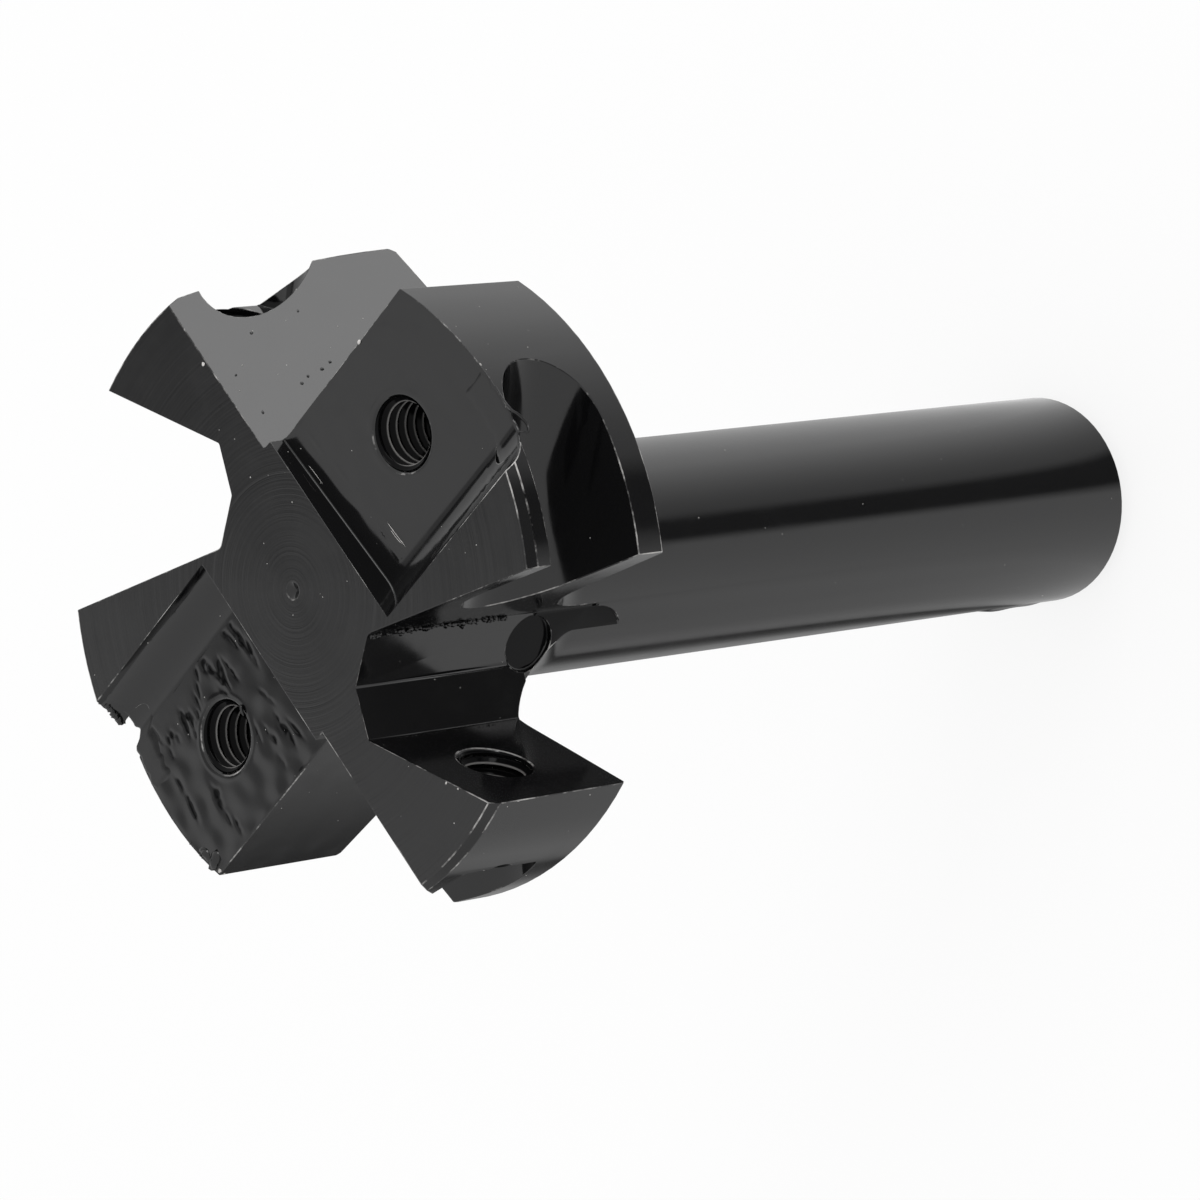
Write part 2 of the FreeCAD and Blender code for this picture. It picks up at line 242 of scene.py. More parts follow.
class NodeBench:
    """A material's node tree with short calls to add and join its nodes."""

    def __init__(self, material: bpy.types.Material) -> None:
        """Starts from the material's own shader and output."""
        material.use_nodes = True
        self.tree = material.node_tree
        self.shader = self.tree.nodes["Principled BSDF"]
        self.output = self.tree.nodes["Material Output"]

    def add(self, kind: str, **settings: object) -> bpy.types.Node:
        """Adds a node and sets its properties."""
        node = self.tree.nodes.new(kind)
        for name, value in settings.items():
            setattr(node, name, value)
        return node

    def join(self, source: bpy.types.NodeSocket, target: bpy.types.NodeSocket) -> None:
        """Links one socket to another."""
        self.tree.links.new(source, target)

    def math(self, operation: str, first: object, second: object = None) -> bpy.types.NodeSocket:
        """Adds a math node.

        Args:
            operation: the math node's operation.
            first: a socket or a number.
            second: a socket, a number, or nothing.

        Returns:
            The result's socket.
        """
        node = self.add("ShaderNodeMath", operation=operation)
        for place, value in enumerate((first, second)):
            if isinstance(value, (int, float)):
                node.inputs[place].default_value = value
            elif value is not None:
                self.join(value, node.inputs[place])
        return node.outputs[0]

    def ramp(self, value: bpy.types.NodeSocket, low: float, high: float,
             low_result: float = 0.0, high_result: float = 1.0) -> bpy.types.NodeSocket:
        """Maps a value smoothly from one range to another.

        Args:
            value: the socket that is mapped.
            low: the value that gives low_result.
            high: the value that gives high_result.
            low_result: what low becomes.
            high_result: what high becomes.

        Returns:
            The result's socket.
        """
        node = self.add("ShaderNodeMapRange", interpolation_type="SMOOTHSTEP")
        self.join(value, node.inputs["Value"])
        node.inputs["From Min"].default_value = low
        node.inputs["From Max"].default_value = high
        node.inputs["To Min"].default_value = low_result
        node.inputs["To Max"].default_value = high_result
        return node.outputs["Result"]

    def noise(self, pattern: Pattern) -> bpy.types.NodeSocket:
        """Adds noise on the piece's own coordinates, with a value of about 0 to 1."""
        node = self.add("ShaderNodeTexNoise")
        self._set_noise(node, pattern)
        self.join(self.add("ShaderNodeTexCoord").outputs["Object"], node.inputs["Vector"])
        return node.outputs["Fac"]

    def line_noise(self, value: bpy.types.NodeSocket, pattern: Pattern) -> bpy.types.NodeSocket:
        """Adds noise that changes along one value only."""
        node = self.add("ShaderNodeTexNoise", noise_dimensions="1D")
        self._set_noise(node, pattern)
        self.join(value, node.inputs["W"])
        return node.outputs["Fac"]

    @staticmethod
    def _set_noise(node: bpy.types.Node, pattern: Pattern) -> None:
        """Gives a noise node its pattern."""
        node.inputs["Scale"].default_value = pattern.scale
        node.inputs["Detail"].default_value = pattern.detail
        node.inputs["Roughness"].default_value = pattern.roughness

    def split_place(self) -> bpy.types.NodeOutputs:
        """Splits the piece's own coordinates into X, Y and Z."""
        split = self.add("ShaderNodeSeparateXYZ")
        self.join(self.add("ShaderNodeTexCoord").outputs["Object"], split.inputs["Vector"])
        return split.outputs

    def blend(self, share: bpy.types.NodeSocket, first: tuple[float, float, float],
              second: tuple[float, float, float]) -> None:
        """Mixes two colours into the shader's base colour.

        Args:
            share: the share of the second colour.
            first: the colour where the share is 0.
            second: the colour where the share is 1.
        """
        mix = self.add("ShaderNodeMix", data_type="RGBA")
        self.join(share, mix.inputs["Factor"])
        colours = [socket for socket in mix.inputs if socket.type == "RGBA"]
        for socket, colour in zip(colours, (first, second)):
            socket.default_value = (*colour, 1.0)
        result = next(socket for socket in mix.outputs if socket.type == "RGBA")
        self.join(result, self.shader.inputs["Base Color"])


class WorldBench(NodeBench):
    """The same short calls on a world's node tree."""

    def __init__(self, world: bpy.types.World) -> None:
        """Starts from the world's own background."""
        world.use_nodes = True
        self.tree = world.node_tree
        self.background = self.tree.nodes["Background"]


class CoatState(Enum):
    """Where a pale grey is mixed into the coat, as the values where it starts and is full.

    The values are a noise's on the rounded outer edges, and the crest attribute's in a thread; on the crests
    the pale grey is a painted highlight.
    """

    WHOLE = None
    WORN = (0.47, 0.66)
    CREST = (0.72, 0.97)


@dataclass(frozen=True)
class BlackCoat:
    """Gloss black paint over turned and milled steel, with a pale grey mixed in on the rounded edges and, as
    a painted highlight, on thread crests. A lower specular level or IOR set on it is painted shade.
    """

    name: str
    state: CoatState = CoatState.WHOLE
    colour: tuple[float, float, float] = (0.0035, 0.0035, 0.0038)
    # Pale grey for the rounded edges; on thread crests it is a painted highlight.
    worn_colour: tuple[float, float, float] = (0.42, 0.41, 0.40)
    ior: float = 1.5
    smooth_roughness: float = 0.08
    dull_roughness: float = 0.16
    peel_height: float = 0.0010 * MM
    ring_height: float = 0.0055 * MM
    groove_height: float = 0.003 * MM
    groove_half_width: float = 0.07 * MM
    face_margin: float = 0.04 * MM
    # Largest share of pale grey in the painted crest highlight.
    crest_share: float = 0.5
    specular: float = 0.5
    # Painted shade: a coat with these set has a lower specular level in the seats' dents, which darkens
    # them.
    pitted: bool = False
    pit_specular: float = 0.06
    pit_range: tuple[float, float] = (0.18, 0.70)
    blotch: Pattern = Pattern(420.0, 3.0, 0.55)
    blotch_range: tuple[float, float] = (0.35, 0.75)
    wear: Pattern = Pattern(260.0, 5.0, 0.75)
    rings: Pattern = Pattern(6500.0, 4.0, 0.7)
    peel: Pattern = Pattern(1100.0, 2.0, 0.5)

    def build(self) -> bpy.types.Material:
        """Makes the coat's material.

        Returns:
            A material with roughness blotches, paint peel, turning rings on the face and, in
            the pale edge and crest states, a pale grey: a painted highlight on the crests. A coat
            with dent shade has a lower specular level in its dents, as painted shade.
        """
        material = bpy.data.materials.new(self.name)
        bench = NodeBench(material)
        shader = bench.shader
        shader.inputs["IOR"].default_value = self.ior
        shader.inputs["Base Color"].default_value = (*self.colour, 1.0)
        shader.inputs["Specular IOR Level"].default_value = self.specular
        roughness = bench.ramp(bench.noise(self.blotch), *self.blotch_range,
                               self.smooth_roughness, self.dull_roughness)
        bench.join(roughness, shader.inputs["Roughness"])
        # Painted shade: the specular level falls in the seats' dents.
        if self.pitted:
            pit = bench.add("ShaderNodeAttribute", attribute_name=PIT_LAYER)
            gloss = bench.ramp(pit.outputs["Fac"], *self.pit_range, self.specular, self.pit_specular)
            bench.join(gloss, shader.inputs["Specular IOR Level"])
        # Pale grey in noise patches on the rounded outer edges.
        if self.state is CoatState.WORN:
            self._wear(bench, bench.noise(self.wear), 1.0)
        # Painted highlight: pale grey on the thread crests.
        if self.state is CoatState.CREST:
            crest = bench.add("ShaderNodeAttribute", attribute_name=CREST_LAYER)
            self._wear(bench, crest.outputs["Fac"], self.crest_share)
        self._relief(bench)
        return material

    def _wear(self, bench: NodeBench, value: bpy.types.NodeSocket, most: float) -> None:
        """Mixes a pale grey into the colour where a value is high: a painted highlight on thread crests.

        Args:
            bench: the material's bench.
            value: the value that decides.
            most: the largest share of pale grey.
        """
        low, high = self.state.value
        bench.blend(bench.ramp(value, low, high, 0.0, most), self.colour, self.worn_colour)

    def _relief(self, bench: NodeBench) -> None:
        """Adds the peel of the paint everywhere and the turning rings on the level face."""
        place = bench.split_place()
        square = bench.math("ADD", bench.math("MULTIPLY", place["X"], place["X"]),
                            bench.math("MULTIPLY", place["Y"], place["Y"]))
        radius = bench.math("SQRT", square)
        on_face = bench.math("GREATER_THAN", place["Z"], SIZES.top * MM - self.face_margin)
        rings = bench.line_noise(radius, self.rings)
        away = bench.math("ABSOLUTE", bench.math("SUBTRACT", radius, SIZES.shank_radius * MM))
        groove = bench.ramp(away, 0.0, self.groove_half_width, -1.0, 0.0)
        normal = None
        layers = ((bench.math("MULTIPLY", rings, on_face), self.ring_height),
                  (bench.math("MULTIPLY", groove, on_face), self.groove_height),
                  (bench.noise(self.peel), self.peel_height))
        for height, distance in layers:
            bump = bench.add("ShaderNodeBump")
            bump.inputs["Strength"].default_value = 1.0
            bump.inputs["Distance"].default_value = distance
            bench.join(height, bump.inputs["Height"])
            if normal is not None:
                bench.join(normal, bump.inputs["Normal"])
            normal = bump.outputs["Normal"]
        bench.join(normal, bench.shader.inputs["Normal"])


@dataclass(frozen=True)
class PaleGrain:
    """Dull pale grit: settled dust, and chips where the steel is bare."""

    name: str
    colour: tuple[float, float, float]
    metallic: float
    roughness: float
    darkest: float = 0.45
    shade: Pattern = Pattern(900.0, 2.0, 0.6)
    shade_range: tuple[float, float] = (0.35, 0.65)

    def build(self) -> bpy.types.Material:
        # Painted shade: a lower specular level in the seats' dents.
        """Makes the grit's material, lighter and darker from one grain to the next.

        Returns:
            The material.
        """
        # Low IOR: painted shade inside the screw holes. Pale crests: painted highlight.
        material = bpy.data.materials.new(self.name)
        # Low specular level: painted shade on the gullets' run-out flats.
        bench = NodeBench(material)
        bench.shader.inputs["Metallic"].default_value = self.metallic
        bench.shader.inputs["Roughness"].default_value = self.roughness
        dark = tuple(channel * self.darkest for channel in self.colour)
        bench.blend(bench.ramp(bench.noise(self.shade), *self.shade_range), dark, self.colour)
        return material


class FaceKind(Enum):
    """What a face of the body belongs to."""

    CURVED = 0
    FLAT = 1
    ROUNDED = 2


@dataclass(frozen=True)
class Crease:
    """One long dent in the paint of a seat's floor, or a ridge where its depth is negative."""

    out: float
    across: float
    half_length: float
    half_width: float
    depth: float
    turn: float = 90.0

    def depth_at(self, places: np.ndarray) -> np.ndarray:
        """Gaussian of the place's distance, stretched along the crease's own direction."""
        turn = math.radians(self.turn)
        offset = places - np.array([self.out, self.across])
        along = offset @ np.array([math.cos(turn), math.sin(turn)])
        beside = offset @ np.array([-math.sin(turn), math.cos(turn)])
        return self.depth * np.exp(-(along / self.half_length) ** 2 - (beside / self.half_width) ** 2)


@dataclass(frozen=True)
class DentGroup:
    """Some dents near one another: their middle, their spread and their count."""

    out: float
    across: float
    out_spread: float
    across_spread: float
    count: int


@dataclass
class SeatRelief:
    """Lumps, dents and ridges of the paint on a sunken seat's floor."""

    side: Side
    dent_depth: float
    wave_height: float
    seed: int
    groups: tuple[DentGroup, ...] = ()
    creases: tuple[Crease, ...] = ()
    lip_height: float = 0.014
    lip_radius: float = 2.28
    lip_width: float = 0.15
    point_step: float = 0.12
    wave_cell: float = 1.1
    calm_width: float = 2.6
    dent_lengths: tuple[float, float] = (0.22, 0.7)
    dent_widths: tuple[float, float] = (0.10, 0.19)
    dent_shares: tuple[float, float] = (0.45, 1.0)
    dent_turn: float = 90.0
    turn_spread: float = 9.0
    ragged_share: float = 0.35
    ragged_cell: float = 0.42
    ragged_most: float = 1.2

    def _dents(self, places: np.ndarray) -> np.ndarray:
        """Adds up the dents, each a long Gaussian pit across the seat with a ragged border.

        Args:
            places: out and across coordinates on the floor from the hole's centre, in mm.

        Returns:
            How strongly each place is dented, 0 to ragged_most.
        """
        draw = np.random.default_rng(self.seed)
        total = np.zeros(len(places))
        for group in self.groups:
            for _ in range(group.count):
                dent = Crease(out=draw.normal(group.out, group.out_spread),
                              across=draw.normal(group.across, group.across_spread),
                              half_length=draw.uniform(*self.dent_lengths),
                              half_width=draw.uniform(*self.dent_widths),
                              depth=draw.uniform(*self.dent_shares),
                              turn=draw.normal(self.dent_turn, self.turn_spread))
                total = total + dent.depth_at(places)
        ragged = 1.0 + self.ragged_share * soft_noise(places, self.ragged_cell, self.seed + 1)
        return np.clip(total, 0.0, 1.0) * np.clip(ragged, 0.0, self.ragged_most)

    def height(self, places: np.ndarray) -> tuple[np.ndarray, np.ndarray]:
        """Works out how far the paint stands off the floor.

        The waves are soft noise that fades out beside the trailing wall. The dents and the
        creases are cut into them. A lip of paint rings the screw hole.

        Args:
            places: out and across coordinates on the floor from the hole's centre, in mm.

        Returns:
            Heights in millimetres, and how strongly each place is dented.
        """
        dents = self._dents(places)
        trailing = -(SIZES.seat_width - SIZES.flat_hole_behind) + SIZES.seat_fillet
        calm = smooth_step(places[:, 1], trailing, trailing + self.calm_width)
        waves = self.wave_height * soft_noise(places, self.wave_cell, self.seed) * calm
        total = waves - self.dent_depth * dents
        for crease in self.creases:
            total = total - crease.depth_at(places)
        from_hole = np.linalg.norm(places, axis=1)
        lip = self.lip_height * np.exp(-((from_hole - self.lip_radius) / self.lip_width) ** 2)
        return total + lip, dents


@dataclass
class DressedBody:
    """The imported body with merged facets, rounded edges and dented seats."""

    outer_radius: float = 0.055
    inner_radius: float = 0.09
    edge_segments: int = 2
    sharp_angle: float = 22.0
    level_angle: float = 0.3
    smallest_edge: float = 0.02
    border_fade: float = 0.25
    face_sink: float = 0.02
    fold_lengths: tuple[float, float] = (0.1, 0.6)
    fold_turn: float = -0.9
    large_face: int = 8
    runout_levels: tuple[float, float] = (44.0, 54.5)
    runout_depth: float = 0.08
    runout_facing: float = 0.8
    weld_distance: float = 1e-7
    floor_facing: float = 0.9999
    floor_slack: float = 0.01
    curved_limit: float = 32.0
    rounded_limit: float = 60.0
    row_share: float = 0.87
    kind_layer: str = "kind"
    reliefs: tuple[SeatRelief, ...] = field(default_factory=tuple)

    def build(self) -> bpy.types.Object:
        """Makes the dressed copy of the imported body.

        Returns:
            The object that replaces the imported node. Its rounded outer edges have material
            number 1, the gullets' run-outs number 2, and the rest number 0.
        """
        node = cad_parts[BODY_NODE]
        mesh = bmesh.new()
        mesh.from_mesh(node.data)
        bmesh.ops.remove_doubles(mesh, verts=mesh.verts, dist=self.weld_distance)
        bmesh.ops.dissolve_degenerate(mesh, dist=self.smallest_edge * MM, edges=mesh.edges)
        bmesh.ops.dissolve_limit(mesh, angle_limit=math.radians(self.level_angle),
                                 verts=mesh.verts, edges=mesh.edges)
        for face in mesh.faces:
            face.material_index = 0
        mesh.verts.layers.float.new(PIT_LAYER)
        self._round(mesh, convex=False, radius=self.inner_radius, number=2)
        self._round(mesh, convex=True, radius=self.outer_radius, number=1)
        self._weld_folds(mesh)
        self._mark_kinds(mesh)
        self._mark_runout(mesh)
        for relief in self.reliefs:
            self._retile_floor(mesh, relief)
        for vert in mesh.verts:
            vert.co.z = min(vert.co.z, (SIZES.top - self.face_sink) * MM)
        mesh.normal_update()
        thing = object_from_bmesh("coated_body", mesh)
        self._set_normals(thing.data)
        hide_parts(BODY_NODE)
        return thing

    def _mark_kinds(self, mesh: bmesh.types.BMesh) -> None:
        """Notes which faces are flat, curved or rounded strips.

        A face that meets a neighbour at a slight angle is a facet of a curved surface. New
        faces, such as those of a seat's floor, count as curved. The inner strips' material
        number goes back to 0, and the outer strips keep 1.

        Args:
            mesh: the body's bmesh, changed in place.
        """
        kind = mesh.faces.layers.int.new(self.kind_layer)
        slight = math.radians(self.sharp_angle)
        for face in mesh.faces:
            if face.material_index:
                face[kind] = FaceKind.ROUNDED.value
                continue
            angles = [edge.calc_face_angle(0.0) for edge in face.edges
                      if all(other.material_index == 0 for other in edge.link_faces)]
            curved = any(math.radians(self.level_angle) < angle < slight for angle in angles)
            face[kind] = (FaceKind.CURVED if curved else FaceKind.FLAT).value
        for face in mesh.faces:
            face.material_index %= 2

    def _set_normals(self, data: bpy.types.Mesh) -> None:
        """Sets the shading normals by the kind of face.

        A flat face keeps its own normal. A curved one has the mean at each point. A rounded
        strip takes over the normal of the surface that it meets, and the mean between.

        Args:
            data: the body's mesh, changed in place.
        """
        loops, faces = len(data.loops), len(data.polygons)
        point = np.zeros(loops, dtype=np.int64)
        data.loops.foreach_get("vertex_index", point)
        counts = np.zeros(faces, dtype=np.int64)
        data.polygons.foreach_get("loop_total", counts)
        face = np.repeat(np.arange(faces), counts)
        normal = np.zeros(faces * 3)
        data.polygons.foreach_get("normal", normal)
        normal = normal.reshape(-1, 3)[face]
        kind = np.zeros(faces, dtype=np.int32)
        data.attributes[self.kind_layer].data.foreach_get("value", kind)
        kind = kind[face]
        weighted = normal * self._corner_angles(data, point, counts)[:, None]
        means = {}
        for which in FaceKind:
            total = np.zeros((len(data.vertices), 3))
            np.add.at(total, point[kind == which.value], weighted[kind == which.value])
            size = np.linalg.norm(total, axis=1, keepdims=True)
            means[which] = (total / np.maximum(size, 1e-9))[point]
        result = normal.copy()
        orders = ((FaceKind.CURVED, (FaceKind.CURVED,), self.curved_limit),
                  (FaceKind.ROUNDED, (FaceKind.ROUNDED, FaceKind.CURVED, FaceKind.FLAT), self.rounded_limit))
        for which, order, limit in orders:
            for source in order:
                near = (means[source] * normal).sum(axis=1) > math.cos(math.radians(limit))
                chosen = (kind == which.value) & near
                result[chosen] = means[source][chosen]
        data.attributes.remove(data.attributes[self.kind_layer])
        data.shade_smooth()
        data.normals_split_custom_set(result.tolist())

    @staticmethod
    def _corner_angles(data: bpy.types.Mesh, point: np.ndarray, counts: np.ndarray) -> np.ndarray:
        """Angle of each face corner, between the ways to the corner before it and after it.

        Args:
            data: the body's mesh.
            point: the vertex of each corner.
            counts: how many corners each face has.

        Returns:
            One angle per corner, in radians.
        """
        places = np.zeros(len(data.vertices) * 3)
        data.vertices.foreach_get("co", places)
        places = places.reshape(-1, 3)[point] / MM
        ends = np.cumsum(counts)
        after = np.arange(len(point)) + 1
        after[ends - 1] = ends - counts
        before = np.empty_like(after)
        before[after] = np.arange(len(point))
        ahead, back = places[after] - places, places[before] - places
        sizes = np.linalg.norm(ahead, axis=1) * np.linalg.norm(back, axis=1)
        return np.arccos(np.clip((ahead * back).sum(axis=1) / np.maximum(sizes, 1e-12), -1.0, 1.0))

    def _round(self, mesh: bmesh.types.BMesh, convex: bool, radius: float, number: int) -> None:
        """Rounds the sharp edges of one kind and gives the new faces a material number.

        Args:
            mesh: the body's bmesh, changed in place.
            convex: whether outer edges are rounded, or else inner corners.
            radius: the rounding in millimetres.
            number: the material number of the rounded strips.
        """
        sharp = [edge for edge in mesh.edges
                 if edge.is_manifold and edge.calc_face_angle() > math.radians(self.sharp_angle)
                 and edge.is_convex == convex and all(face.material_index == 0 for face in edge.link_faces)]
        bmesh.ops.bevel(mesh, geom=sharp, offset=radius * MM, offset_type="OFFSET",
                        segments=self.edge_segments, profile=0.5, affect="EDGES",
                        clamp_overlap=False, material=number)

    def _weld_folds(self, mesh: bmesh.types.BMesh) -> None:
        """Welds the short edges at which a large face's border doubles back on itself.

        Args:
            mesh: the body's bmesh, changed in place.
        """
        shortest, longest = self.fold_lengths
        folds = set()
        for face in mesh.faces:
            if len(face.loops) < self.large_face:
                continue
            for loop in face.loops:
                after = loop.link_loop_next
                here, there = loop.vert.co, after.vert.co
                along = (there - here).normalized()
                before = (here - loop.link_loop_prev.vert.co).normalized()
                beyond = (after.link_loop_next.vert.co - there).normalized()
                folded = before.dot(along) < self.fold_turn and along.dot(beyond) < self.fold_turn
                if folded and shortest < loop.edge.calc_length() / MM < longest:
                    folds.add(loop.edge)
        LOG.info("folds welded: %d", len(folds))
        bmesh.ops.collapse(mesh, edges=list(folds), uvs=False)

    def _mark_runout(self, mesh: bmesh.types.BMesh) -> None:
        """Gives the flats that the gullets' cutter left on the neck their own material number, whose coat
        has a low specular level as painted shade.

        Args:
            mesh: the body's bmesh, changed in place.
        """
        low, high = self.runout_levels
        for face in mesh.faces:
            depth = SIZES.shank_radius - min(math.hypot(vert.co.x, vert.co.y) / MM for vert in face.verts)
            level = face.calc_center_median().z / MM
            if depth > self.runout_depth and low < level < high and abs(face.normal.x) > self.runout_facing:
                face.material_index = 2

    def _retile_floor(self, mesh: bmesh.types.BMesh, relief: SeatRelief) -> None:
        """Gives a seat's floor a fine net of points and moves them by the relief.

        The floor's flat faces are taken out, their border is kept, and a triangulation of the
        border with a net of inner points fills it again.

        Args:
            mesh: the body's bmesh, changed in place.
            relief: the seat's relief.
        """
        hole, out, across, normal = SIZES.seat_frame(relief.side)
        level = normal @ hole
        faces = [face for face in mesh.faces
                 if face.normal.dot(Vector(normal)) > self.floor_facing
                 and abs(face.calc_center_median().dot(Vector(normal)) / MM - level) < self.floor_slack]
        chosen = set(faces)
        border = [edge for edge in dict.fromkeys(edge for face in faces for edge in face.edges)
                  if sum(face in chosen for face in edge.link_faces) == 1]
        verts = list(dict.fromkeys(vert for edge in border for vert in edge.verts))
        number = {vert: place for place, vert in enumerate(verts)}
        rim = (np.array([vert.co for vert in verts]) / MM - hole) @ np.stack([out, across], axis=1)
        pairs = [(number[edge.verts[0]], number[edge.verts[1]]) for edge in border]
        inner = self._inner_points(rim, relief.point_step, self.row_share)
        flat = [Vector(place) for place in np.concatenate([rim, inner])]
        spots, _, triangles, origins, _, _ = delaunay_2d_cdt(flat, pairs, [], 1, 1e-5)
        ends = rim[np.array(pairs)]
        bmesh.ops.delete(mesh, geom=faces, context="FACES_ONLY")
        places = np.array([tuple(spot) for spot in spots])
        corners = np.array([list(triangle) for triangle in triangles])
        corners = corners[self._inside(places[corners].mean(axis=1), ends)]
        fade = smooth_step(self._border_distance(places, ends), 0.0, self.border_fade)
        heights, dents = relief.height(places)
        points = hole + places @ np.stack([out, across]) + (heights * fade)[:, None] * normal
        pit = mesh.verts.layers.float[PIT_LAYER]
        made = {}
        for place in np.unique(corners):
            first = next((origin for origin in origins[place] if origin < len(verts)), None)
            made[place] = mesh.verts.new(points[place] * MM) if first is None else verts[first]
            made[place][pit] = dents[place] * fade[place]
        for triangle in corners:
            mesh.faces.new([made[corner] for corner in triangle])
        mesh.normal_update()

    @staticmethod
    def _inner_points(rim: np.ndarray, step: float, row_share: float) -> np.ndarray:
        """Net of points that covers the border's box, every other row moved by half a step.

        Args:
            rim: the border's points.
            step: the gap between points of one row.
            row_share: the gap between rows, as a share of the step.

        Returns:
            The net's points, one row each.
        """
        low = rim.min(axis=0) + step
        high = rim.max(axis=0) - step
        across, out = np.meshgrid(np.arange(low[1], high[1], step * row_share),
                                  np.arange(low[0], high[0], step), indexing="ij")
        out[1::2] += step / 2
        return np.stack([out.ravel(), across.ravel()], axis=1)

    @staticmethod
    def _inside(places: np.ndarray, ends: np.ndarray) -> np.ndarray:
        """Whether each place is inside the border: a ray from it crosses an odd count of segments."""
        first, last = ends[:, 0], ends[:, 1]
        height = places[:, 1:2]
        spans = (first[:, 1] > height) != (last[:, 1] > height)
        rise = np.where(last[:, 1] == first[:, 1], 1.0, last[:, 1] - first[:, 1])
        crossing = first[:, 0] + (height - first[:, 1]) / rise * (last[:, 0] - first[:, 0])
        return (spans & (crossing > places[:, 0:1])).sum(axis=1) % 2 == 1

    @staticmethod
    def _border_distance(places: np.ndarray, ends: np.ndarray) -> np.ndarray:
        """Distance from each place to the nearest border segment, all in millimetres."""
        start = ends[:, 0]
        span = ends[:, 1] - start
        square = np.maximum((span ** 2).sum(axis=1), 1e-12)
        best = np.full(len(places), np.inf)
        for first, way, length in zip(start, span, square):
            share = np.clip(((places - first) @ way) / length, 0.0, 1.0)
            gap = np.linalg.norm(places - first - share[:, None] * way, axis=1)
            best = np.minimum(best, gap)
        return best


@dataclass
class ThreadedBore:
    """Visible thread turns inside a screw hole: a helical groove on a thin sleeve."""

    name: str
    mouth: np.ndarray
    axis: np.ndarray
    length: float
    bore_radius: float = 2.0
    crest_radius: float = 1.70
    pitch: float = 0.7
    turn_points: int = 72
    pitch_points: int = 18
    lead_in: float = 0.06
    ridge_top: float = 1.06
    ridge_slope: float = 2.6
    fade_in: float = 0.35
    fade_out: float = 0.5

    def build(self) -> bpy.types.Object:
        """Makes the thread.

        The radius is the bore's less a ridge that follows a helix: at depth d and angle a, the
        ridge's place in the pitch is d / pitch - a / turn. The ridge fades at both ends.

        Returns:
            The sleeve, whose faces look at the hole's axis.
        """
        rows = int(self.length / self.pitch * self.pitch_points)
        depth = np.linspace(0.0, self.length, rows)[:, None]
        angle = np.linspace(0.0, 2 * math.pi, self.turn_points, endpoint=False)[None, :]
        phase = (depth / self.pitch - angle / (2 * math.pi)) % 1.0
        ridge = np.clip(self.ridge_top - np.abs(phase - 0.5) * self.ridge_slope, 0.0, 1.0)
        begun = smooth_step(depth, 0.0, self.pitch * self.fade_in)
        ended = smooth_step(depth, self.length - self.pitch * self.fade_out, self.length)
        fade = begun * (1 - ended)
        radius = self.bore_radius - (self.bore_radius - self.crest_radius) * ridge * fade
        side = np.cross(self.axis, [0.0, 0.0, 1.0])
        if np.linalg.norm(side) < 0.5:
            side = np.cross(self.axis, [0.0, 1.0, 0.0])
        side /= np.linalg.norm(side)
        other = np.cross(self.axis, side)
        ring = (np.cos(angle)[..., None] * side + np.sin(angle)[..., None] * other)
        start = self.mouth - self.axis * self.lead_in
        points = start - depth[..., None] * self.axis + radius[..., None] * ring
        thing = grid_object(self.name, points, closed_rows=True)
        crest = thing.data.attributes.new(CREST_LAYER, "FLOAT", "POINT")
        crest.data.foreach_set("value", (ridge * fade).ravel())
        return thing


@dataclass
class Grains:
    """Many small closed lumps in one piece, each a jittered and flattened ball."""

    name: str
    centres: np.ndarray
    normals: np.ndarray
    low_radius: float
    high_radius: float
    seed: int
    flatness: float = 0.5
    jitter: float = 0.25
    divisions: int = 1
    stretch_range: tuple[float, float] = (0.7, 1.5)

    def build(self) -> bpy.types.Object:
        """Makes the lumps.

        Each lump is one ball of triangles whose points move in and out at random. It is
        flattened along its normal, stretched a little along one side, and kept in the box.

        Returns:
            One object with all the lumps.
        """
        ball = bmesh.new()
        bmesh.ops.create_icosphere(ball, subdivisions=self.divisions, radius=1.0)
        base = np.array([vert.co for vert in ball.verts])
        faces = np.array([[vert.index for vert in face.verts] for face in ball.faces])
        ball.free()
        draw = np.random.default_rng(self.seed)
        count = len(self.centres)
        radius = draw.uniform(self.low_radius, self.high_radius, (count, 1, 1))
        bumps = 1.0 + self.jitter * draw.uniform(-1.0, 1.0, (count, len(base), 1))
        side = np.cross(self.normals, draw.normal(size=(count, 3)))
        side /= np.linalg.norm(side, axis=1, keepdims=True)
        other = np.cross(self.normals, side)
        stretch = draw.uniform(*self.stretch_range, (count, 1, 1))
        local = base[None] * bumps * radius
        points = (self.centres[:, None] + local[..., 0:1] * stretch * side[:, None]
                  + local[..., 1:2] * other[:, None]
                  + local[..., 2:3] * self.flatness * self.normals[:, None])
        points = np.clip(points, np.array(CAD_BOX[0]) / MM, np.array(CAD_BOX[1]) / MM)
        index = faces[None] + len(base) * np.arange(count)[:, None, None]
        return smooth_object(self.name, points, index)


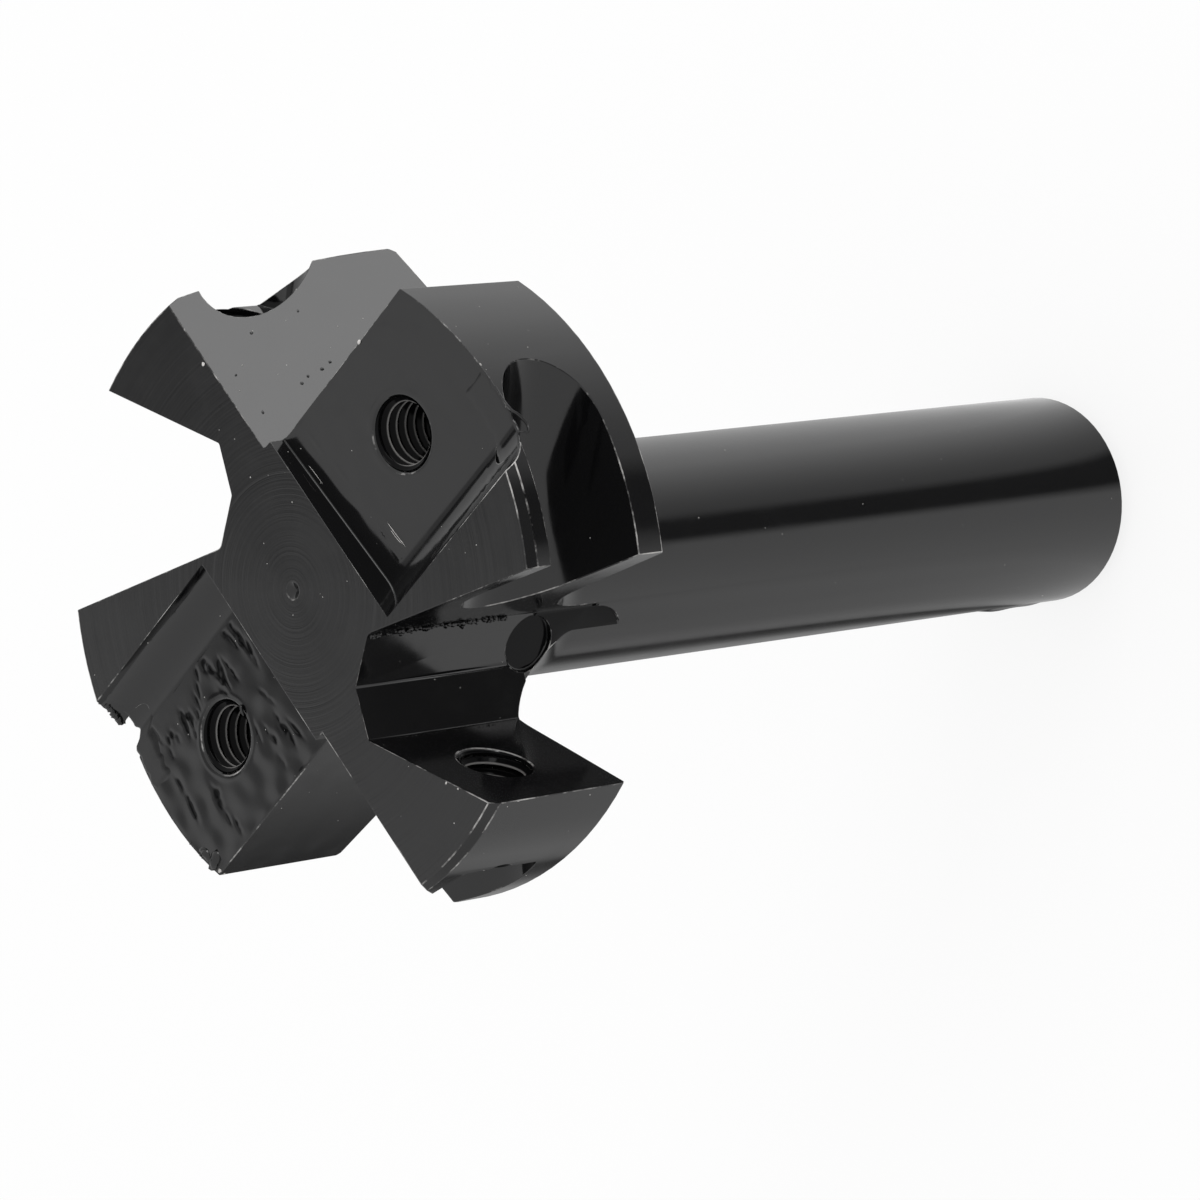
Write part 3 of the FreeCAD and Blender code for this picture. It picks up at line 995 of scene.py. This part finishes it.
@dataclass
class BurrWire:
    """A thin curled strand: a tube of changing radius along a smooth path."""

    name: str
    path: np.ndarray
    radius: float
    steps: int = 12
    ring_points: int = 10

    def build(self) -> bpy.types.Object:
        """Makes the strand.

        The path is a Catmull-Rom curve through its points. The radius falls to almost nothing
        at both ends as the square root of a sine.

        Returns:
            The tube, closed at both ends by its own narrowing.
        """
        ends = np.concatenate([[2 * self.path[0] - self.path[1]], self.path,
                               [2 * self.path[-1] - self.path[-2]]])
        share = np.linspace(0.0, 1.0, self.steps, endpoint=False)[:, None]
        runs = [0.5 * (2 * b + (c - a) * share + (2 * a - 5 * b + 4 * c - d) * share ** 2
                       + (3 * b - a - 3 * c + d) * share ** 3)
                for a, b, c, d in zip(ends, ends[1:], ends[2:], ends[3:])]
        line = np.concatenate([*runs, self.path[-1:]])
        way = np.gradient(line, axis=0)
        way /= np.linalg.norm(way, axis=1, keepdims=True)
        side = np.cross(way, [0.3, 0.2, 0.93])
        side /= np.linalg.norm(side, axis=1, keepdims=True)
        other = np.cross(way, side)
        place = np.linspace(0.0, math.pi, len(line))
        radius = self.radius * np.sqrt(np.maximum(np.sin(place), 1e-4))
        angle = np.linspace(0.0, 2 * math.pi, self.ring_points, endpoint=False)
        ring = (np.cos(angle)[None, :, None] * side[:, None] + np.sin(angle)[None, :, None] * other[:, None])
        return grid_object(self.name, line[:, None] + radius[:, None, None] * ring, closed_rows=True)


@dataclass(frozen=True)
class BurrRow:
    """A row of lumps along a line: their count, their sizes, their seed and how far they stray."""

    name: str
    line: tuple[tuple[float, float, float], ...]
    count: int
    low_radius: float
    high_radius: float
    seed: int
    spread: float


class SurfaceMarks:
    """Dust, chips, rough rows and burrs on the dressed body, with its skins and its web."""

    CHIPS = ((9.74, -9.73, 65.0), (-0.62, -14.22, 63.93), (-16.75, 5.97, 64.1), (-16.6, 5.97, 64.3),
             (-14.53, 6.02, 65.0), (-13.61, 6.03, 65.0), (-17.05, 5.97, 63.0), (4.32, 17.35, 63.84),
             (3.36, 17.51, 63.90), (2.9, 17.62, 63.92), (2.84, 17.8, 63.6), (-9.14, -15.64, 63.4))
    RAMP_SPECKS = ((8.99, -11.62, 62.49), (7.93, -9.65, 64.16), (5.15, -9.93, 61.83), (5.2, -10.29, 61.42),
                   (4.95, -10.73, 60.7), (4.92, -11.11, 60.21), (8.11, -13.02, 60.12), (5.49, -8.31, 64.07))
    ROWS = (BurrRow("rough_row", ((-6.06, 0.50, 64.8), (-6.14, 0.36, 60.0), (-6.05, 0.45, 54.3)),
                    110, 0.06, 0.15, 31, 0.06),
            BurrRow("seat_corner_row", ((-7.75, 5.90, 62.8), (-7.85, 5.90, 55.6)),
                    46, 0.02, 0.045, 32, 0.02),
            BurrRow("rim_burrs", ((13.62, 11.60, 64.2), (13.3, 12.2, 63.8), (12.98, 12.60, 63.5)),
                    26, 0.12, 0.24, 33, 0.05),
            BurrRow("rim_tip_burrs", ((6.69, 16.72, 63.6), (4.62, 17.42, 63.8), (2.9, 17.75, 63.7)),
                    18, 0.04, 0.09, 34, 0.02),
            BurrRow("tip_lump", ((5.1, 17.0, 63.55), (4.2, 17.2, 63.6), (3.4, 17.35, 63.6)),
                    4, 0.34, 0.50, 35, 0.03))
    CURL = ((-10.4, -14.9, 63.35), (-11.2, -14.35, 63.36), (-11.75, -13.98, 63.25), (-12.05, -13.8, 63.0),
            (-12.48, -13.38, 62.65), (-12.8, -13.1, 62.85), (-12.76, -13.1, 63.1), (-12.55, -13.05, 63.45))
    SCRATCHES = (((-4.48, -5.32, 63.39), (-5.2, -4.9, 63.34), (-6.06, -4.43, 63.27)),
                 ((-4.8, -5.0, 63.36), (-5.3, -4.7, 63.33), (-5.75, -4.5, 63.29)),
                 ((1.63, -6.52, 63.8), (0.95, -6.15, 63.75), (0.42, -5.83, 63.7)))
    TONGUE = ((3.95, 8.35, 63.45), (3.75, 8.2, 63.62), (3.55, 8.45, 63.66), (3.45, 8.7, 63.55))
    TORN_PLACES = (-6.9, -6.5, -6.4, -5.5, -5.1, -4.75, -4.6)
    TORN_RADII = (18.0, 18.0, 17.5, 17.45, 17.15, 17.6, 18.05)
    WHOLE_PLACES = (-6.9, -5.0)
    WHOLE_RADII = (18.0, 18.05)
    SCRATCH_RADIUS = 0.020
    CURL_RADIUS = 0.075
    TONGUE_RADIUS = 0.10
    DUST_COUNT = 190
    DUST_SEED = 77
    SHANK_SHARE = 0.22
    SHANK_SPREAD = (3.0, 3.0, 22.0)
    HEAD_SPREAD = (14.0, 14.0, 4.0)
    SHANK_MIDDLE = 26.0
    HEAD_MIDDLE = 61.0
    RAY_START = 60.0
    LOWEST_DUST = 0.5
    TIE_SLACK = 0.001

    def __init__(self, body: bpy.types.Object, coat: bpy.types.Material) -> None:
        """Makes the tree of the body's faces that dust is dropped on, and keeps the coat."""
        points = [vert.co / MM for vert in body.data.vertices]
        faces = [face.vertices[:] for face in body.data.polygons]
        self.tree = BVHTree.FromPolygons(points, faces)
        self.coat = coat
        self.dust = PaleGrain("settled_dust", (0.55, 0.54, 0.52), 0.0, 0.8).build()
        self.bare = PaleGrain("bare_steel", (0.72, 0.70, 0.68), 0.4, 0.42).build()

    def build(self) -> None:
        """Makes every mark, both skins and the web, and dresses them."""
        dress(self._dust(), self.dust)
        chips = np.array(self.CHIPS)
        dress(Grains("edge_chips", chips, self._normals(chips), 0.05, 0.13, 5, flatness=0.45,
                     jitter=0.35, divisions=2).build(), self.bare)
        specks = np.array(self.RAMP_SPECKS)
        dress(Grains("ramp_specks", specks, self._normals(specks), 0.05, 0.10, 6, flatness=0.35,
                     divisions=2).build(), self.coat)
        for row in self.ROWS:
            centres = self._along(row)
            grains = Grains(row.name, centres, self._normals(centres), row.low_radius, row.high_radius,
                            row.seed, flatness=0.9, jitter=0.3, divisions=2)
            dress(grains.build(), self.coat)
        dress(TornWeb("corner_web").build(), self.coat)
        dress(SeatSkin("seat_skin_first", Side.FIRST, self.TORN_PLACES, self.TORN_RADII).build(), self.coat)
        dress(SeatSkin("seat_skin_second", Side.SECOND, self.WHOLE_PLACES, self.WHOLE_RADII).build(),
              self.coat)
        for number, path in enumerate(self.SCRATCHES):
            dress(BurrWire(f"scratch_{number}", np.array(path), self.SCRATCH_RADIUS).build(), self.bare)
        dress(BurrWire("corner_curl", np.array(self.CURL), self.CURL_RADIUS).build(), self.coat)
        dress(BurrWire("thread_tongue", np.array(self.TONGUE), self.TONGUE_RADIUS).build(), self.coat)

    def _normals(self, centres: np.ndarray) -> np.ndarray:
        """Normal of the body's nearest face at each place."""
        return np.array([self._nearest_normal(Vector(centre)) for centre in centres])

    def _nearest_normal(self, centre: Vector) -> tuple[float, float, float]:
        """Normal of the face nearest to a place, with a fixed choice between equals.

        The bevel leaves the faces in an order that differs from run to run. Of faces at
        exactly the same distance, as at an edge, the one whose normal is first in order of
        X, Y and Z is taken, so that the order makes no difference. TIE_SLACK, in millimetres,
        only widens the search, so that it finds them all.

        Args:
            centre: the place in millimetres.

        Returns:
            The normal's X, Y and Z.
        """
        gap = self.tree.find_nearest(centre)[3]
        hits = self.tree.find_nearest_range(centre, gap + self.TIE_SLACK)
        least = min(hit[3] for hit in hits)
        return min(tuple(hit[1]) for hit in hits if hit[3] == least)

    @staticmethod
    def _along(row: BurrRow) -> np.ndarray:
        """Places along a row's run of straight lines, a little off it at random."""
        line = np.array(row.line)
        draw = np.random.default_rng(row.seed)
        share = np.sort(draw.uniform(0.0, len(line) - 1, row.count))
        known = np.arange(len(line))
        places = np.stack([np.interp(share, known, line[:, axis]) for axis in range(3)], axis=1)
        return places + row.spread * draw.normal(size=(row.count, 3))

    def _dust(self) -> bpy.types.Object:
        """Drops grains on the body along random rays towards its head and its shank."""
        draw = np.random.default_rng(self.DUST_SEED)
        centres, normals = [], []
        while len(centres) < self.DUST_COUNT:
            on_shank = draw.uniform() < self.SHANK_SHARE
            spread = self.SHANK_SPREAD if on_shank else self.HEAD_SPREAD
            middle = self.SHANK_MIDDLE if on_shank else self.HEAD_MIDDLE
            target = draw.uniform(-1.0, 1.0, 3) * spread + (0.0, 0.0, middle)
            way = draw.normal(size=3)
            way /= np.linalg.norm(way)
            place, normal, _, _ = self.tree.ray_cast(Vector(target + self.RAY_START * way), Vector(-way))
            if place is not None and place.z > self.LOWEST_DUST:
                centres.append(place[:])
                normals.append(normal[:])
        return Grains("settled_dust", np.array(centres), np.array(normals), 0.016, 0.045,
                      self.DUST_SEED + 1, flatness=0.5, jitter=0.3).build()


@dataclass
class SeatSkin:
    """The thin skin of steel between a seat's outer corner and the hollow under it."""

    name: str
    side: Side
    edge_places: tuple[float, ...]
    edge_radii: tuple[float, ...]
    fillet_end: float = 74.0
    floor_end: float = -1.2
    reach: float = 2.6
    wall_shift: float = 0.215
    sink: float = 0.05
    lift: float = 0.064
    thickness: float = 0.18
    arc_rows: int = 26
    floor_rows: int = 26
    half_columns: int = 16
    half_drops: tuple[float, float] = (0.35, 0.65)
    rise_along: float = 0.45
    rise_across: float = 0.55
    ragged_depth: float = 0.05
    ragged_cell: float = 0.35
    seed: int = 51

    def build(self) -> bpy.types.Object:
        """Makes the skin.

        Its top follows the seat's profile, a hair over it in the middle and a hair below it at
        the border: an arc of the fillet's radius, then the straight floor. Each row runs
        outwards to a ragged edge at a given radius about the axis, and comes back lower by the
        thickness, which falls to nothing at both ends.

        Returns:
            The skin.
        """
        hole, out, across, normal = SIZES.seat_frame(self.side)
        centre = -(SIZES.seat_width - SIZES.flat_hole_behind) + SIZES.seat_fillet - self.wall_shift
        arc = np.radians(np.linspace(self.fillet_end, 0.0, self.arc_rows))
        floor = np.linspace(centre, self.floor_end, self.floor_rows)[1:]
        turn = np.concatenate([arc, np.zeros(len(floor))])
        middle = np.concatenate([np.full(len(arc), centre), floor])
        share = np.concatenate([np.linspace(0.0, 1.0, self.half_columns) ** 0.5,
                                np.linspace(1.0, 0.0, self.half_columns) ** 0.5])
        swell = np.sqrt(np.sin(np.linspace(0.0, math.pi, len(turn))))[:, None]
        lower = np.concatenate([np.zeros(self.half_columns - 1), self.half_drops,
                                np.ones(self.half_columns - 1)])[None, :]
        rise = smooth_step(share, 0.0, self.rise_along)[None, :] * smooth_step(swell, 0.0, self.rise_across)
        depth = self.sink - self.lift * rise + self.thickness * swell * lower
        drop = SIZES.seat_fillet + depth
        beside = middle[:, None] - drop * np.sin(turn)[:, None]
        above = SIZES.seat_fillet - drop * np.cos(turn)[:, None]
        ragged = self.ragged_depth * soft_noise(beside[:, :1], self.ragged_cell, self.seed)
        radius = np.interp(beside[:, 0], self.edge_places, self.edge_radii) + ragged
        base = hole + beside[..., None] * across + above[..., None] * normal
        along = base[..., :2] @ out[:2]
        square = (base[..., :2] ** 2).sum(axis=-1) - radius[:, None] ** 2
        edge = -along + np.sqrt(along ** 2 - square)
        points = base + (edge - self.reach * (1.0 - share))[..., None] * out
        return grid_object(self.name, points, closed_rows=True)


@dataclass
class TornWeb:
    """A torn web of steel that partly closes the breach at one seat's outer corner."""

    name: str
    angles: tuple[float, ...] = (43.4, 44.2, 44.9, 46.2, 47.8, 49.5, 51.0)
    tops: tuple[float, ...] = (63.1, 62.9, 62.7, 62.45, 62.8, 63.2, 63.25)
    bottoms: tuple[float, ...] = (62.9, 61.6, 61.1, 61.0, 61.7, 62.5, 63.0)
    outer_radius: float = 18.08
    thickness: float = 0.42
    rows: int = 60
    ring_points: int = 16
    fullness: float = 1.3
    ragged_depth: float = 0.05
    ragged_cell: float = 0.5
    ragged_seed: int = 41
    wave_depth: float = 0.06
    wave_cell: float = 0.9
    wave_seed: int = 42

    def build(self) -> bpy.types.Object:
        """Makes the web.

        Across the web, the section is an ellipse between its bottom and its top. Both are
        lines through known heights at known angles about the axis, made ragged by soft noise.

        Returns:
            The web, closed at both ends where its height falls to nothing.
        """
        angle = np.linspace(self.angles[0], self.angles[-1], self.rows)
        ragged = self.ragged_depth * soft_noise(angle[:, None], self.ragged_cell, self.ragged_seed)
        top = np.interp(angle, self.angles, self.tops) + ragged
        bottom = np.interp(angle, self.angles, self.bottoms) + ragged
        share = np.linspace(0.0, math.pi, self.rows)
        swell = np.sqrt(np.maximum(np.sin(share), 1e-4))[:, None]
        turn = np.linspace(0.0, 2 * math.pi, self.ring_points, endpoint=False)[None, :]
        half = ((top - bottom) / 2)[:, None] * np.minimum(1.0, self.fullness * swell)
        level = ((top + bottom) / 2)[:, None] + half * np.cos(turn)
        wave = self.wave_depth * soft_noise(angle[:, None], self.wave_cell, self.wave_seed)[:, None]
        radius = self.outer_radius - self.thickness / 2 * (1.0 + swell * np.sin(turn)) + wave
        around = np.radians(angle)[:, None]
        points = np.stack([radius * np.cos(around), radius * np.sin(around), level], axis=-1)
        return grid_object(self.name, points, closed_rows=True)


@dataclass
class PaintRun:
    """A low run of paint along the underside of the shank's end."""

    name: str = "paint_run"
    heading_angle: float = 114.7
    low_level: float = 2.6
    high_level: float = 8.6
    half_turn_width: float = 7.0
    height: float = 0.17
    sink: float = 0.04
    wave_share: float = 0.3
    wave_rate: float = 9.0
    wave_start: float = 1.0
    bluntness: float = 0.6
    rows: int = 48
    columns: int = 20

    def build(self) -> bpy.types.Object:
        """Makes the run.

        Its height over the shank is a sine along its length to a low power, times a squared
        cosine across it, less a little so that its border lies inside the shank.

        Returns:
            The run, a patch whose border is sunk below the shank's surface.
        """
        share = np.linspace(0.0, 1.0, self.rows)[:, None]
        across = np.linspace(-1.0, 1.0, self.columns)[None, :]
        wave = 1.0 + self.wave_share * np.sin(self.wave_rate * share + self.wave_start)
        along = np.sin(math.pi * share) ** self.bluntness
        rise = self.height * wave * along * np.cos(math.pi / 2 * across) ** 2
        radius = SIZES.shank_radius - self.sink + rise
        angle = np.radians(self.heading_angle + self.half_turn_width * across)
        level = np.broadcast_to(self.low_level + (self.high_level - self.low_level) * share, radius.shape)
        points = np.stack([radius * np.cos(angle), radius * np.sin(angle), level], axis=-1)
        return grid_object(self.name, points, closed_rows=False)


class Studio:
    """White tent with a soft key lamp, a plain floor and the photo's camera."""

    CAMERA_PLACE = (-0.20120229, -0.08973137, 0.26943394)
    CAMERA_RIGHT = (-0.70195358, -0.18055396, -0.68895677)
    CAMERA_UP = (0.33006784, -0.93965306, -0.0900408)
    LENS = 166.7508
    SENSOR_WIDTH = 36.0
    NEAREST = 0.01
    FARTHEST = 20.0
    FLOOR_SIZE = 3.0
    FLOOR_COLOUR = (0.9, 0.9, 0.9, 1.0)
    FLOOR_ROUGHNESS = 0.9
    FLOOR_GLOW_SHARE = 0.82
    LAMP_SIZES = (0.34, 0.30)
    LAMP_LEVEL = 3.5
    LAMP_TARGET = (0.006, -0.012, 0.060)
    LAMP_WAY = (-0.02, -0.95, 0.30)
    LAMP_DISTANCE = 0.6
    CARD_SIZE = 1.2
    CARD_HEIGHT = 0.00002
    DULL_PARTS = (((0.70, 0.20, 0.68), 5.5, 8.2, 0.45), ((0.785, 0.185, 0.588), 3.2, 5.4, 0.10),
                  ((0.99, 0.05, -0.05), 6.0, 12.0, 0.45), ((-0.85, -0.51, 0.08), 14.0, 22.0, 0.25))
    CARD_PEAK = 1.5
    CARD_LEVELS = ((-180, 0.98), (-157, 0.93), (-150, 0.10), (-134, 0.10), (-127, 0.5), (-114, 0.63),
                   (-90, 0.95), (-72, 1.10), (-45, 0.95), (-10, 0.6), (20, 0.35), (45, 0.30), (66, 0.40),
                   (80, 0.14), (87.5, 0.10), (91, 0.42), (97, 0.55), (112, 0.58), (149, 1.0), (180, 0.98))

    def build(self) -> None:
        """Sets the view transform and makes the camera, the floor, the world and the lamps."""
        bpy.context.scene.view_settings.view_transform = "Standard"
        self._camera()
        self._world()
        self._floor()
        self._key_lamp()
        self._floor_card()

    def _camera(self) -> None:
        """Places the camera where the photo was taken from."""
        data = bpy.data.cameras.new("photo_camera")
        data.lens = self.LENS
        data.sensor_width = self.SENSOR_WIDTH
        data.clip_start = self.NEAREST
        data.clip_end = self.FARTHEST
        camera = linked("photo_camera", data)
        right = Vector(self.CAMERA_RIGHT).normalized()
        up = Vector(self.CAMERA_UP).normalized()
        turn = Matrix((right, up, right.cross(up))).transposed()
        camera.matrix_world = Matrix.Translation(self.CAMERA_PLACE) @ turn.to_4x4()
        bpy.context.scene.camera = camera

    def _world(self) -> None:
        """Makes the tent: even white, with some duller parts."""
        world = bpy.data.worlds.new("white_tent")
        bench = WorldBench(world)
        strength = 1.0
        for axis, inner, outer, low in self.DULL_PARTS:
            dot = bench.add("ShaderNodeVectorMath", operation="DOT_PRODUCT")
            bench.join(bench.add("ShaderNodeTexCoord").outputs["Generated"], dot.inputs[0])
            dot.inputs[1].default_value = Vector(axis).normalized()
            share = bench.ramp(dot.outputs["Value"], math.cos(math.radians(outer)),
                               math.cos(math.radians(inner)), 1.0, low)
            strength = bench.math("MULTIPLY", share, strength)
        path = bench.add("ShaderNodeLightPath")
        seen = bench.math("MAXIMUM", strength, path.outputs["Is Camera Ray"])
        bench.join(seen, bench.background.inputs["Strength"])
        bench.background.inputs["Color"].default_value = (1.0, 1.0, 1.0, 1.0)
        bpy.context.scene.world = world

    def _floor(self) -> None:
        """Makes the pale floor, which reads as white to the camera and keeps a soft shadow."""
        floor = self._plane("studio_floor", self.FLOOR_SIZE, 0.0)
        material = bpy.data.materials.new("white_floor")
        bench = NodeBench(material)
        bench.shader.inputs["Base Color"].default_value = self.FLOOR_COLOUR
        bench.shader.inputs["Roughness"].default_value = self.FLOOR_ROUGHNESS
        glow = bench.add("ShaderNodeEmission")
        glow.inputs["Strength"].default_value = 1.0
        path = bench.add("ShaderNodeLightPath")
        seen = bench.math("MAXIMUM", path.outputs["Is Camera Ray"], path.outputs["Is Glossy Ray"])
        share = bench.math("MULTIPLY", seen, self.FLOOR_GLOW_SHARE)
        mix = bench.add("ShaderNodeMixShader")
        bench.join(share, mix.inputs["Fac"])
        bench.join(bench.shader.outputs["BSDF"], mix.inputs[1])
        bench.join(glow.outputs["Emission"], mix.inputs[2])
        bench.join(mix.outputs["Shader"], bench.output.inputs["Surface"])
        floor.data.materials.append(material)

    def _key_lamp(self) -> None:
        """Hangs the soft key lamp that the sloping back of one wing mirrors."""
        data = bpy.data.lights.new("key_softbox", "AREA")
        data.shape = "RECTANGLE"
        data.size, data.size_y = self.LAMP_SIZES
        data.energy = self.LAMP_LEVEL * math.pi * data.size * data.size_y
        lamp = linked("key_softbox", data)
        way = Vector(self.LAMP_WAY).normalized()
        lamp.location = Vector(self.LAMP_TARGET) + self.LAMP_DISTANCE * way
        lamp.rotation_mode = "QUATERNION"
        lamp.rotation_quaternion = way.to_track_quat("Z", "Y")

    def _floor_card(self) -> None:
        """Lays the card that only reflections see: the tent's duller side and its dark gap."""
        card = self._plane("tent_card", self.CARD_SIZE, self.CARD_HEIGHT)
        card.visible_camera = False
        card.visible_diffuse = False
        card.visible_shadow = False
        card.visible_transmission = False
        material = bpy.data.materials.new("tent_card")
        bench = NodeBench(material)
        place = bench.split_place()
        turned = bench.math("ARCTAN2", place["Y"], place["X"])
        share = bench.math("ADD", bench.math("DIVIDE", turned, 2 * math.pi), 0.5)
        band = bench.add("ShaderNodeFloatCurve")
        bench.join(share, band.inputs["Value"])
        curve = band.mapping.curves[0]
        stops = [((angle + 180.0) / 360.0, level / self.CARD_PEAK) for angle, level in self.CARD_LEVELS]
        curve.points[0].location = stops[0]
        curve.points[1].location = stops[-1]
        for stop in stops[1:-1]:
            curve.points.new(*stop)
        for point in curve.points:
            point.handle_type = "VECTOR"
        band.mapping.update()
        glow = bench.add("ShaderNodeEmission")
        bench.join(bench.math("MULTIPLY", band.outputs["Value"], self.CARD_PEAK), glow.inputs["Strength"])
        bench.join(glow.outputs["Emission"], bench.output.inputs["Surface"])
        card.data.materials.append(material)

    @staticmethod
    def _plane(name: str, size: float, height: float) -> bpy.types.Object:
        """Makes a level square that belongs to the studio."""
        half = size / 2
        data = bpy.data.meshes.new(name)
        flat = [(-half, -half), (half, -half), (half, half), (-half, half)]
        data.from_pydata([(*corner, height) for corner in flat], [], [(0, 1, 2, 3)])
        plane = linked(name, data)
        return plane


def seat_reliefs() -> tuple[SeatRelief, SeatRelief]:
    """The first seat's deep dents and the second's few streaks, placed as in the photo."""
    groups = (DentGroup(-4.9, -3.0, 0.35, 0.9, 8), DentGroup(-4.0, -3.9, 0.3, 0.5, 3),
              DentGroup(-2.4, -2.9, 0.5, 0.6, 9), DentGroup(-0.9, -4.2, 0.4, 0.3, 3),
              DentGroup(0.6, -3.1, 0.45, 0.5, 4), DentGroup(2.1, -2.9, 0.4, 0.5, 6),
              DentGroup(3.8, -2.9, 0.5, 0.8, 5), DentGroup(5.1, -3.9, 0.3, 0.4, 5),
              DentGroup(4.6, -0.4, 0.5, 0.8, 4), DentGroup(2.7, 1.7, 0.4, 0.4, 3),
              DentGroup(3.0, 3.2, 0.3, 0.8, 3), DentGroup(-2.9, 1.9, 0.4, 0.5, 2),
              DentGroup(-4.2, 1.4, 0.4, 1.0, 4), DentGroup(-3.4, 3.6, 0.6, 0.7, 3))
    streaks = (Crease(-4.4, -3.4, 0.85, 0.07, -0.028), Crease(-5.0, -2.7, 0.5, 0.06, -0.02),
               Crease(-5.2, -4.3, 0.6, 0.06, -0.02), Crease(-4.9, 1.6, 0.7, 0.07, -0.015),
               Crease(-5.1, 3.9, 0.6, 0.07, -0.02))
    return (SeatRelief(Side.FIRST, 0.022, 0.0060, seed=11, groups=groups, point_step=0.085),
            SeatRelief(Side.SECOND, 0.012, 0.0040, seed=23, creases=streaks))


def build_threads(coat: bpy.types.Material) -> None:
    """Makes the turns of all four screw holes and dresses them."""
    for side in Side:
        label = side.name.lower()
        hole, _, _, normal = SIZES.seat_frame(side)
        flat = ThreadedBore(f"flat_thread_{label}", hole, normal, SIZES.flat_thread_length)
        dress(flat.build(), coat)
        turn = half_turn(side)
        mouth = turn @ np.array([SIZES.upright_hole_out, -SIZES.upright_offset, SIZES.upright_hole_level])
        upright_axis = turn @ np.array([0.0, 1.0, 0.0])
        upright = ThreadedBore(f"upright_thread_{label}", mouth, upright_axis, SIZES.upright_thread_length)
        dress(upright.build(), coat)


def main() -> None:
    """Builds the studio and every piece."""
    logging.basicConfig(level=logging.INFO, format="%(name)s: %(message)s")
    Studio().build()
    coat = BlackCoat("gloss_black_coat").build()
    pitted_coat = BlackCoat("pitted_black_coat", pitted=True).build()
    worn_coat = BlackCoat("worn_edge_coat", CoatState.WORN).build()
    thread_coat = BlackCoat("thread_coat", CoatState.CREST, ior=1.15).build()
    runout_coat = BlackCoat("runout_coat", specular=0.08).build()
    body = dress(DressedBody(reliefs=seat_reliefs()).build(), pitted_coat, worn_coat, runout_coat)
    build_threads(thread_coat)
    SurfaceMarks(body, coat).build()
    dress(PaintRun().build(), coat)


if __name__ == "__main__":
    main()
